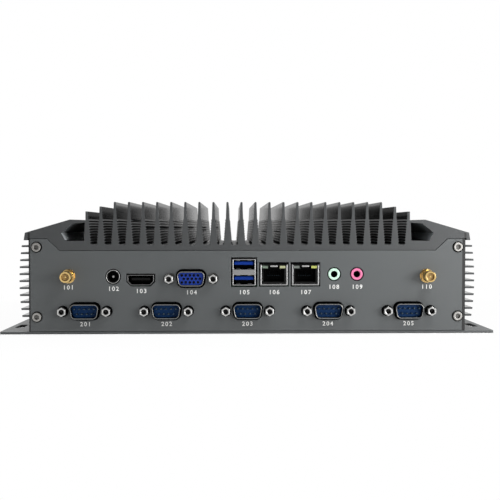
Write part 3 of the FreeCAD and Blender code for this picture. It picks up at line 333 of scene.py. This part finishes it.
topLook = {
    **finLook, "colour": (0.054, 0.057, 0.059),
    "flanks": {
        "half": 92.6, "facing": 0.5, "shade": 0.16, "rough": 0.14, "matt": 0.45,
        "grooveTop": 65.4, "groovePitch": 1.5, "grooveShade": 0.03, "grooveMatt": 0.3,
        "crest": (0.36, 0.47), "crestShade": 2.9,
    },
    "pocket": {
        "inner": 93.0, "outer": 106.9, "floor": 53.5, "bend": 57.6, "roof": 63.6, "end": 74.9,
        "shade": 8.0, "upperShade": 2.6, "floorShade": 0.08,
    },
    "lip": {"inner": 124.2, "outer": 125.4, "below": 57.6, "facing": 0.7, "shade": 0.1},
}
sideLook = {
    **finLook, "colour": (0.066, 0.070, 0.072), "rough": 0.16,
    "wall": {"half": 125.5, "depth": 72.6, "shade": 0.04},
}
metalLook = {"smudgeShade": 0.86, "scratchSize": 0.2 * mm, "stretch": (1, 0.1, 1)}
plateLook = {
    **metalLook, "colour": (0.62, 0.62, 0.61), "smudgeSize": 2 * mm,
    "scratchDepth": 0.0015 * mm, "rough": 0.28, "roughSpread": 0.10,
}
rimLook = {**plateLook, "colour": (0.31, 0.31, 0.30), "shown": 78.74, "hidden": 78.58, "deep": 0.01}
monitorRimLook = {**rimLook, "flange": {"depth": 73.4, "middle": -32.8, "half": 9.1, "facing": 0.7}}
portLook = {**plateLook, "colour": (0.40, 0.40, 0.40), "shown": 75.34, "hidden": 75.18, "deep": 0.01}
lanLook = {**portLook, "roof": 39.3, "roofShade": 0.02}
videoLook = {**portLook, "colour": (0.26, 0.26, 0.26), "shown": 75.26, "hidden": 75.12}
jackLook = {**plateLook, "shown": 79.5, "hidden": 78.9, "deep": 0.06}
buttonLook = {
    **metalLook, "colour": (0.66, 0.66, 0.65), "smudgeSize": 3 * mm, "scratchSize": 0.3 * mm,
    "stretch": (0.05, 1, 1), "scratchDepth": 0.006 * mm, "rough": 0.28, "roughSpread": 0.12,
}
goldLook = {
    **metalLook, "colour": (0.78, 0.55, 0.23), "smudgeSize": 2 * mm,
    "scratchDepth": 0.002 * mm, "rough": 0.18, "roughSpread": 0.08,
}
# painted shade: the contacts are near black instead of gold, standing in for the shade inside the sockets
shadedContactLook = {**goldLook, "colour": (0.07, 0.10, 0.12), "rough": 0.4}
steelLook = {
    **metalLook, "colour": (0.45, 0.45, 0.44), "smudgeSize": 1 * mm, "stretch": (1, 1, 1),
    "scratchDepth": 0.002 * mm, "rough": 0.32, "roughSpread": 0.12,
}
# painted shade: the jackscrews' threads and bore floors are near black, standing in for the shade inside the
# bores
boreShadeLook = {**steelLook, "colour": (0.05, 0.05, 0.05)}
headLook = {
    **steelLook, "colour": (0.42, 0.41, 0.39), "rough": 0.38, "shown": 75.6, "hidden": 75.2, "deep": 0.30,
}
milledLook = {
    **metalLook, "colour": (0.76, 0.77, 0.78), "smudgeSize": 6 * mm, "scratchSize": 0.3 * mm,
    "stretch": (0.05, 1, 1), "scratchDepth": 0.01 * mm, "rough": 0.35, "roughSpread": 0.12,
}
boardLook = {
    "colour": (0.012, 0.075, 0.035), "cell": 3 * mm, "cellShade": 1.5,
    "weaveSize": 0.5 * mm, "weaveDepth": 0.01 * mm, "rough": 0.35, "roughSpread": 0.2,
}
lampLook = {
    "span": (5.0, 42.0), "veil": (0.30, 0.32, 0.28), "haze": 0.5, "hazeSize": 0.6 * mm,
    "rough": 0.3, "roughSpread": 0.15, "shine": 0.4,
    # tones from left to right, each from the start of its window
    "stops": [
        (0.0, (0.10, 0.16, 0.11)), (0.30, (0.42, 0.44, 0.22)),
        (0.56, (0.09, 0.11, 0.10)), (0.78, (0.46, 0.50, 0.06)),
    ],
}
clearLampLook = {**lampLook, "stops": [(0.0, (0.5, 0.53, 0.5)), (1.0, (0.5, 0.53, 0.5))]}
plasticLook = {
    "drift": (0.9, 1.08), "driftSize": 4 * mm, "grainSize": 0.25 * mm, "grainDepth": 0.003 * mm,
    "rough": 0.45, "roughSpread": 0.12, "shine": 0.3,
}
plastics = {
    "insertBlue": {"colour": (0.005, 0.034, 0.115), "shine": 0.12},
    "monitorBlue": {
        "colour": (0.009, 0.038, 0.275), "shine": 0.2, "shown": 77.45, "hidden": 77.2, "deep": 0.02,
    },
    "tongueBlue": {
        "colour": (0.004, 0.036, 0.270), "shine": 0.12, "shown": 73.9, "hidden": 71.5, "deep": 0.02,
    },
    "blackPlastic": {"colour": (0.004, 0.004, 0.004), "shine": 0.15, "rough": 0.6},
    "mintPlastic": {"colour": (0.58, 0.84, 0.68), "shown": 75.05, "hidden": 74.85, "deep": 0.01},
    "pinkPlastic": {"colour": (0.80, 0.20, 0.38), "shown": 75.05, "hidden": 74.85, "deep": 0.01},
    "packageGrey": {"colour": (0.055, 0.060, 0.058)},
    "padGrey": {"colour": (0.42, 0.44, 0.47)},
    "cableBlack": {"colour": (0.015, 0.015, 0.016)},
    "amber": {"colour": (0.36, 0.24, 0.09)},
    "inkWhite": {"colour": (0.82, 0.82, 0.80), "shine": 0.2},
}

finish = {
    "coat": coatedMetal("darkCoat", baseLook),
    "panelCoat": coatedMetal("panelCoat", panelLook),
    "fins": coatedMetal("darkExtrusion", topLook),
    "sideFins": coatedMetal("sideExtrusion", sideLook),
    "plate": brightMetal("brightPlate", plateLook),
    "rim": brightMetal("shellRim", rimLook),
    "monitorRim": brightMetal("monitorRim", monitorRimLook),
    "port": brightMetal("portPlate", portLook),
    "lan": brightMetal("networkPlate", lanLook),
    "video": brightMetal("videoPlate", videoLook),
    "jack": brightMetal("jackSteel", jackLook),
    "button": brightMetal("turnedSteel", buttonLook),
    "gold": brightMetal("goldPlate", goldLook),
    "head": brightMetal("headSteel", headLook),
    "steel": brightMetal("plainSteel", steelLook),
    "milled": brightMetal("milledAluminium", milledLook),
    "thread": brightMetal("boreShadeSteel", boreShadeLook),
    "contact": brightMetal("shadedContactPlate", shadedContactLook),
    "board": circuitBoard("boardGreen", boardLook),
    "lamps": lampPlastic("lampWindows", lampLook),
    "clearLamp": lampPlastic("clearLamps", clearLampLook),
}
for name, look in plastics.items():
    finish[name] = mouldedPlastic(name, {**plasticLook, **look})
print("materials made:", len(finish))


# ---- CAD nodes: finish and softened edges

serialPorts = [f"serial_port_{number}" for number in range(1, 6)]
dress = {
    "fins": ["top_heatsink"],
    "sideFins": ["left_side_heatsink", "right_side_heatsink"],
    "panelCoat": ["port_panel", "service_panel"],
    "coat": ["base_plate"],
    "milled": ["heat_spreader", "coin_cell"],
    "rim": [port + "_shell" for port in serialPorts],
    "monitorRim": ["monitor_port_shell"],
    "port": ["usb_shell"],
    "lan": ["lan_left_shell", "lan_right_shell"],
    "video": ["video_shell"],
    "jack": ["jackscrews"],
    "button": ["power_button", "button_bezel"],
    "head": ["panel_screws"],
    "steel": [
        "power_jack_pin", "base_screws", "spreader_screws", "board_screws", "lower_standoffs",
        "upper_standoffs",
    ],
    "gold": ["left_antenna_connector", "right_antenna_connector", "antenna_nuts", "antenna_washers"],
    "contact": ["serial_pins"],
    "insertBlue": [port + "_insert" for port in serialPorts],
    "monitorBlue": ["monitor_port_insert"],
    "tongueBlue": ["usb_tongues"],
    "blackPlastic": [
        "lan_left_housing", "lan_right_housing", "video_tongue", "power_jack", "memory_socket",
        "card_sockets", "board_link", "cell_holder",
    ],
    "mintPlastic": ["green_audio_jack"],
    "pinkPlastic": ["pink_audio_jack"],
    "board": ["main_board", "serial_board", "memory_module", "solid_state_drive", "wireless_card"],
    "lamps": ["lan_lamps"],
    "clearLamp": ["status_lamps"],
    "packageGrey": ["processor"],
    "padGrey": ["thermal_pad"],
    "cableBlack": ["antenna_leads"],
}
# width in millimetres of the softened edge on each node that shows
softEdges = {
    "top_heatsink": 0.14, "left_side_heatsink": 0.15, "right_side_heatsink": 0.15, "port_panel": 0.3,
    "service_panel": 0.18, "base_plate": 0.18, "panel_screws": 0.3, "jackscrews": 0.35, "antenna_nuts": 0.3,
    "antenna_washers": 0.1, "left_antenna_connector": 0.15, "right_antenna_connector": 0.15,
    "usb_shell": 0.22, "lan_left_shell": 0.2, "lan_right_shell": 0.2, "video_shell": 0.15,
    "power_button": 0.5, "button_bezel": 0.3, "status_lamps": 0.3, "green_audio_jack": 0.5,
    "pink_audio_jack": 0.5, "power_jack": 0.2, "serial_pins": 0.15, "usb_tongues": 0.12,
    **{port + "_shell": 0.17 for port in serialPorts}, "monitor_port_shell": 0.15,
    **{port + "_insert": 0.15 for port in serialPorts}, "monitor_port_insert": 0.1,
}
# millimetres for the weld, degrees for what counts as flat and as an edge
softening = {"weld": 0.002, "flat": 0.5, "edge": 35, "segments": 2}


def soften(thing, width):
    weld = thing.modifiers.new("weld", "WELD")
    weld.merge_threshold = softening["weld"] * mm
    flat = thing.modifiers.new("flat", "DECIMATE")
    flat.decimate_type = "DISSOLVE"
    flat.angle_limit = math.radians(softening["flat"])
    bevel = thing.modifiers.new("bevel", "BEVEL")
    bevel.width = width * mm
    bevel.segments = softening["segments"]
    bevel.use_clamp_overlap = False
    bevel.loop_slide = False
    bevel.limit_method = "ANGLE"
    bevel.angle_limit = math.radians(softening["edge"])


for look, names in dress.items():
    for name in names:
        thing = nodes[name]
        thing.data.materials.clear()
        thing.data.materials.append(finish[look])
for name, width in softEdges.items():
    soften(nodes[name], width)
print("nodes dressed")


# ---- helpers for new pieces

def span(name):
    # lowest and highest corner of a CAD node in millimetres
    low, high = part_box(name)
    return Vector(low) / mm, Vector(high) / mm


def centre(name):
    # X and Z of the middle of a CAD node in millimetres
    low, high = span(name)
    return (low.x + high.x) / 2, (low.z + high.z) / 2


def keep(name, bm, look, body="housing", smooth=None):
    mesh = bpy.data.meshes.new(name)
    bm.to_mesh(mesh)
    bm.free()
    thing = bpy.data.objects.new(name, mesh)
    scene.collection.objects.link(thing)
    mesh.materials.append(finish[look])
    if smooth is not None:
        mesh.shade_smooth()
        mesh.set_sharp_from_angle(angle=math.radians(smooth))
    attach(thing, body)


def stick(bm, low, high, rounding):
    # a bar between two corners in millimetres, with its edges rounded
    low, high = Vector(low), Vector(high)
    size = (high - low) * mm
    move = Matrix.Translation((low + high) / 2 * mm) @ Matrix.Diagonal((*size, 1))
    cube = bmesh.ops.create_cube(bm, size=1, matrix=move)
    edges = list({edge for vert in cube["verts"] for edge in vert.link_edges})
    bar = bmesh.ops.bevel(
        bm, geom=edges, offset=rounding * mm, segments=2, profile=0.5, affect="EDGES", material=-1,
    )
    return bar["verts"]


def ring(bm, place, profile, steps=48):
    # profile is (radius, depth) in millimetres, spun about the Y axis through place
    place = Vector(place) * mm
    verts = [bm.verts.new(place + Vector((radius, depth, 0)) * mm) for radius, depth in profile]
    edges = [bm.edges.new(pair) for pair in zip(verts, verts[1:] + verts[:1])]
    bmesh.ops.spin(
        bm, geom=verts + edges, cent=place, axis=(0, 1, 0), angle=2 * math.pi, steps=steps,
        use_merge=True, use_normal_flip=False,
    )


def outward(bm):
    bmesh.ops.remove_doubles(bm, verts=bm.verts, dist=0.001 * mm)
    bmesh.ops.recalc_face_normals(bm, faces=bm.faces)


# ---- white figures under the ports

figures = {
    "height": 2.5, "fontShare": 1.38, "spacing": 1.3, "bolder": 0.05, "proud": 0.02,
    # text, middle x, middle z
    "upper": [
        ("101", -102.6, 26.4), ("102", -77.0, 25.6), ("103", -61.2, 24.3), ("104", -32.6, 23.5),
        ("105", -2.4, 23.5), ("106", 14.7, 23.5), ("107", 32.8, 23.5), ("108", 49.0, 26.5),
        ("109", 62.4, 26.5), ("110", 102.5, 26.5),
    ],
    "lower": [
        ("201", -93.0, 5.4), ("202", -46.8, 5.4), ("203", -0.6, 5.4), ("204", 45.6, 5.4), ("205", 92.2, 5.4),
    ],
}


def writeFigures():
    bm = bmesh.new()
    panelFront = span("port_panel")[0].y
    for text, x, z in figures["upper"] + figures["lower"]:
        curve = bpy.data.curves.new("figure", "FONT")
        curve.body = text
        curve.size = figures["height"] * mm * figures["fontShare"]
        curve.space_character = figures["spacing"]
        curve.align_x = "CENTER"
        curve.align_y = "CENTER"
        curve.resolution_u = 3
        curve.offset = figures["bolder"] * mm
        curve.extrude = figures["proud"] / 2 * mm
        writing = bpy.data.objects.new("figure", curve)
        scene.collection.objects.link(writing)
        bpy.context.view_layer.update()
        mesh = bpy.data.meshes.new_from_object(writing)
        move = Matrix.Translation(Vector((x, panelFront - figures["proud"] / 2, z)) * mm)
        mesh.transform(move @ Matrix.Rotation(math.pi / 2, 4, "X"))
        bm.from_mesh(mesh)
        bpy.data.objects.remove(writing)
        bpy.data.meshes.remove(mesh)
    keep("portFigures", bm, "inkWhite")


writeFigures()
print("figures written")


# ---- antenna connectors: thread and insulator

antenna = {
    "nodes": ("left_antenna_connector", "right_antenna_connector"), "radius": 3.1,
    "crest": 0.14, "sunk": 0.05, "pitch": 0.71, "startTurn": 0.6, "ridgeHalf": 0.45, "stepsPerTurn": 24,
    "threadLong": 5.9, "pinRadius": 0.62, "insulator": 2.02, "insulatorSunk": 1.4, "insulatorThick": 1.2,
}


def antennaThreads():
    bm = bmesh.new()
    steps, pitch = antenna["stepsPerTurn"], antenna["pitch"]
    turns = int(antenna["threadLong"] / pitch) - 1
    root, crest = antenna["radius"] - antenna["sunk"], antenna["radius"] + antenna["crest"]
    half = pitch * antenna["ridgeHalf"]
    for node in antenna["nodes"]:
        x, z = centre(node)
        place = Vector((x, 0, z)) * mm
        start = span(node)[0].y + pitch * antenna["startTurn"]
        ridge = [(root, start - half), (crest, start), (root, start + half)]
        verts = [bm.verts.new(place + Vector((radius, depth, 0)) * mm) for radius, depth in ridge]
        face = bm.faces.new(verts)
        bmesh.ops.spin(
            bm, geom=[*verts, *face.edges, face], cent=place, axis=(0, 1, 0), angle=2 * math.pi * turns,
            dvec=(0, pitch * mm / steps, 0), steps=turns * steps, use_merge=False,
        )
    bmesh.ops.recalc_face_normals(bm, faces=bm.faces)
    keep("antennaThreads", bm, "gold")


def antennaInsulators():
    bm = bmesh.new()
    inner, outer = antenna["pinRadius"], antenna["insulator"]
    for node in antenna["nodes"]:
        x, z = centre(node)
        face = span(node)[0].y + antenna["insulatorSunk"]
        back = face + antenna["insulatorThick"]
        ring(bm, (x, 0, z), [(inner, face), (outer, face), (outer, back), (inner, back)])
    outward(bm)
    keep("antennaInsulators", bm, "amber", smooth=40)


antennaThreads()
antennaInsulators()
print("antenna connectors detailed")


# ---- jackscrews: the thread and floor of each bore, near black as painted shade

jackThread = {
    "spacing": 25.0, "start": 0.4, "outer": 1.41, "crest": 1.18, "root": 1.36, "pitch": 0.64, "turns": 5,
    "core": 0.02, "backThick": 0.2, "steps": 20,
}


def jackThreads():
    bm = bmesh.new()
    outer, core, pitch = jackThread["outer"], jackThread["core"], jackThread["pitch"]
    face = span("jackscrews")[0].y + jackThread["start"]
    rows = []
    for turn in range(jackThread["turns"]):
        at = face + turn * pitch
        rows += [(jackThread["root"], at), (jackThread["crest"], at + pitch / 2)]
    floor = face + jackThread["turns"] * pitch
    back = floor + jackThread["backThick"]
    profile = [(outer, face), *rows, (core, floor), (core, back), (outer, back)]
    for port in [*serialPorts, "monitor_port"]:
        x, z = centre(port + "_shell")
        for side in (-1, 1):
            ring(bm, (x + side * jackThread["spacing"] / 2, 0, z), profile, jackThread["steps"])
    outward(bm)
    keep("jackThreads", bm, "thread", smooth=40)


jackThreads()
print("jackscrews detailed")


# ---- monitor port: black rings round its contact holes, painted shade for their funnels

funnels = {
    "pitch": 2.29, "row": 1.98, "shift": 0.25, "inner": 0.5, "outer": 0.78, "thick": 0.05, "innerShare": 0.4,
    "steps": 16,
}


def monitorFunnelShade():
    bm = bmesh.new()
    inner, outer, thick = funnels["inner"], funnels["outer"], funnels["thick"]
    face = span("monitor_port_insert")[0].y
    x = centre("monitor_port_insert")[0]
    z = centre("monitor_port_shell")[1]
    profile = [
        (inner, face), (outer, face), (outer, face - thick), (inner, face - thick * funnels["innerShare"]),
    ]
    for row in (-1, 0, 1):
        # the middle row stands half a pitch to the right of the other two
        shift = funnels["shift"] if row == 0 else -funnels["shift"]
        for step in range(-2, 3):
            place = (x + (step + shift) * funnels["pitch"], 0, z + row * funnels["row"])
            ring(bm, place, profile, funnels["steps"])
    outward(bm)
    keep("monitorFunnelShade", bm, "blackPlastic")


monitorFunnelShade()
print("monitor port detailed")


# ---- network sockets: contacts and the bright latch tab

network = {
    "shells": ("lan_left_shell", "lan_right_shell"),
    "contactPitch": 1.02, "contactCount": 8, "contactDrop": 4.6, "contactHalf": (0.2, 0.15),
    "contactFront": -71.5, "contactBack": -64.5, "contactRound": 0.1, "contactTilt": 22,
    "tabHalf": 2.0, "tabDrop": (1.1, 2.0), "tabProud": 0.1, "tabDeep": 1.0, "tabRound": 0.12,
}


def networkContacts():
    bm = bmesh.new()
    halfX, halfZ = network["contactHalf"]
    front, back = network["contactFront"], network["contactBack"]
    turn = Matrix.Rotation(math.radians(network["contactTilt"]), 3, "X")
    for shell in network["shells"]:
        middle = centre(shell)[0]
        z = span(shell)[1].z - network["contactDrop"]
        for index in range(network["contactCount"]):
            x = middle + (index - (network["contactCount"] - 1) / 2) * network["contactPitch"]
            verts = stick(
                bm, (x - halfX, front, z - halfZ), (x + halfX, back, z + halfZ), network["contactRound"],
            )
            bmesh.ops.rotate(bm, verts=verts, cent=Vector((x, back, z)) * mm, matrix=turn)
    keep("networkContacts", bm, "contact")


def latchTabs():
    bm = bmesh.new()
    half = network["tabHalf"]
    upper, lower = network["tabDrop"]
    for shell in network["shells"]:
        low, high = span(shell)
        x = centre(shell)[0]
        stick(
            bm, (x - half, low.y - network["tabProud"], high.z - lower),
            (x + half, low.y + network["tabDeep"], high.z - upper), network["tabRound"],
        )
    keep("latchTabs", bm, "plate")


networkContacts()
latchTabs()
print("network sockets detailed")


# ---- double bus port: spring fingers of the shell

busPort = {
    "fingers": (-3.2, 3.2), "fingerHalf": (1.1, 0.12), "front": -73.6, "back": -66.5, "round": 0.1,
    "tilt": 5.0, "fromShell": 0.8, "fromDivider": 1.8,
}


def busSprings():
    bm = bmesh.new()
    low, high = span("usb_shell")
    middle, divider = centre("usb_shell")
    halfX, halfZ = busPort["fingerHalf"]
    levels = [
        (low.z + busPort["fromShell"], 1), (divider - busPort["fromDivider"], -1),
        (divider + busPort["fromDivider"], 1), (high.z - busPort["fromShell"], -1),
    ]
    for level, way in levels:
        turn = Matrix.Rotation(math.radians(busPort["tilt"] * way), 3, "X")
        for shift in busPort["fingers"]:
            x = middle + shift
            verts = stick(
                bm, (x - halfX, busPort["front"], level - halfZ), (x + halfX, busPort["back"], level + halfZ),
                busPort["round"],
            )
            bmesh.ops.rotate(bm, verts=verts, cent=Vector((x, busPort["front"], level)) * mm, matrix=turn)
    keep("busSprings", bm, "plate")


busSprings()
print("bus port detailed")


# ---- power jack: the metal ring on its face

powerRing = {"inner": 3.55, "outer": 3.85, "proud": 0.12, "shoulder": 0.05, "shoulderShare": 0.7}


def makePowerRing():
    bm = bmesh.new()
    inner, outer, shoulder = powerRing["inner"], powerRing["outer"], powerRing["shoulder"]
    x, z = centre("power_jack_pin")
    face = span("power_jack")[0].y
    low = face - powerRing["proud"] * powerRing["shoulderShare"]
    ring(bm, (x, 0, z), [
        (inner, face), (outer, face), (outer - shoulder, low),
        ((inner + outer) / 2, face - powerRing["proud"]), (inner + shoulder, low),
    ])
    outward(bm)
    keep("powerRing", bm, "button", smooth=50)


makePowerRing()
print("power jack detailed")


# ---- floor, light and camera

studio = {
    "floorSize": 6.0, "floorDrop": 0.2, "floorColour": (0.86, 0.86, 0.86),
    "speckSize": 0.4, "speckShade": 0.99,
    # half the object's footprint in millimetres; the floor's own white there, and where it is full
    "footprint": (142.5, 75.5), "shadowShare": 0.95, "shadowReach": 1.9,
    "camera": (-9.3, -509.0, 60.9), "yaw": -1.34, "pitch": -1.73, "lens": 54.7, "clip": (0.01, 20),
    # name, place, size, power, aim
    "lamps": [
        ("keyLamp", (0.42, -0.42, 0.05), 0.32, 2.5, (0.06, -0.07, 0.0)),
        ("topLamp", (0.0, 0.0, 1.1), 0.9, 2.6, (0, 0, 0)),
        ("floorLamp", (0.16, -0.24, 0.32), 0.12, 0.7, (0.08, -0.14, 0)),
        ("rearLamp", (-0.30, 0.45, 0.75), 0.5, 2.2, (0, 0.07, 0.03)),
    ],
    "worldLight": 0.30, "frontGloss": 0.22, "glossTurn": (-0.5, 0.3),
}


def seen(paint):
    # first 1 for rays from the camera, metal or glass, then 1 for rays straight from the camera
    names = ("Is Camera Ray", "Is Glossy Ray", "Is Transmission Ray")
    direct, gloss, glass = [paint.node("LightPath", out=name) for name in names]
    return paint.node("Math", {"operation": "MINIMUM"}, {0: direct + gloss + glass, 1: 1.0}), direct


def makeFloor():
    bm = bmesh.new()
    bmesh.ops.create_grid(bm, x_segments=2, y_segments=2, size=studio["floorSize"] / 2)
    mesh = bpy.data.meshes.new("floor")
    bm.to_mesh(mesh)
    bm.free()
    thing = bpy.data.objects.new("floor", mesh)
    thing.location.z = -studio["floorDrop"] * mm
    scene.collection.objects.link(thing)
    paint = Paint("floorWhite")
    speck = paint.noise(studio["speckSize"])
    colour = paint.blend(speck, tint(studio["floorColour"], studio["speckShade"]), studio["floorColour"])
    matt = paint.node("BsdfDiffuse", None, {"Color": colour})
    shine = paint.node("Emission", None, {"Color": (1, 1, 1, 1), "Strength": 1.0})
    halfX, halfY = studio["footprint"]
    across, along = abs(paint.axis(0)), abs(paint.axis(1))
    away = paint.node("Math", {"operation": "MAXIMUM"}, {0: across * (1 / halfX), 1: along * (1 / halfY)})
    core = studio["shadowShare"]
    glow = core + paint.slide(away, 1.0, studio["shadowReach"]) * (1 - core)
    mixed = paint.node("MixShader", None, {0: seen(paint)[0] * glow * (away > 1.0), 1: matt, 2: shine})
    mesh.materials.append(paint.output(mixed))


def makeWorld():
    # the room is white behind the object and dimmer behind the camera, for what metal mirrors
    world = bpy.data.worlds.new("studioWorld")
    scene.world = world
    paint = Paint("studioWorld", world)
    anySeen, direct = seen(paint)
    way = paint.node("SeparateXYZ", None, {0: paint.node("TexCoord", out="Generated")}, 1)
    room = studio["frontGloss"] + paint.slide(way, *studio["glossTurn"]) * (1 - studio["frontGloss"])
    bright = direct + (1 - direct) * room
    strength = studio["worldLight"] + anySeen * (bright - studio["worldLight"])
    sky = paint.node("Background", None, {"Color": (1, 1, 1, 1), "Strength": strength})
    paint.output(sky, "OutputWorld")


def makeLamps():
    for name, place, size, power, aim in studio["lamps"]:
        light = bpy.data.lights.new(name, "AREA")
        light.size = size
        light.energy = power
        lamp = bpy.data.objects.new(name, light)
        lamp.location = place
        lamp.rotation_euler = (Vector(aim) - Vector(place)).to_track_quat("-Z", "Y").to_euler()
        scene.collection.objects.link(lamp)


def makeCamera():
    data = bpy.data.cameras.new("camera")
    data.lens = studio["lens"]
    data.clip_start, data.clip_end = studio["clip"]
    camera = bpy.data.objects.new("camera", data)
    camera.location = Vector(studio["camera"]) * mm
    camera.rotation_euler = (math.radians(90 + studio["pitch"]), 0, math.radians(studio["yaw"]))
    scene.collection.objects.link(camera)
    scene.camera = camera


makeFloor()
makeWorld()
makeLamps()
makeCamera()
scene.view_settings.view_transform = "Standard"
print("studio ready")
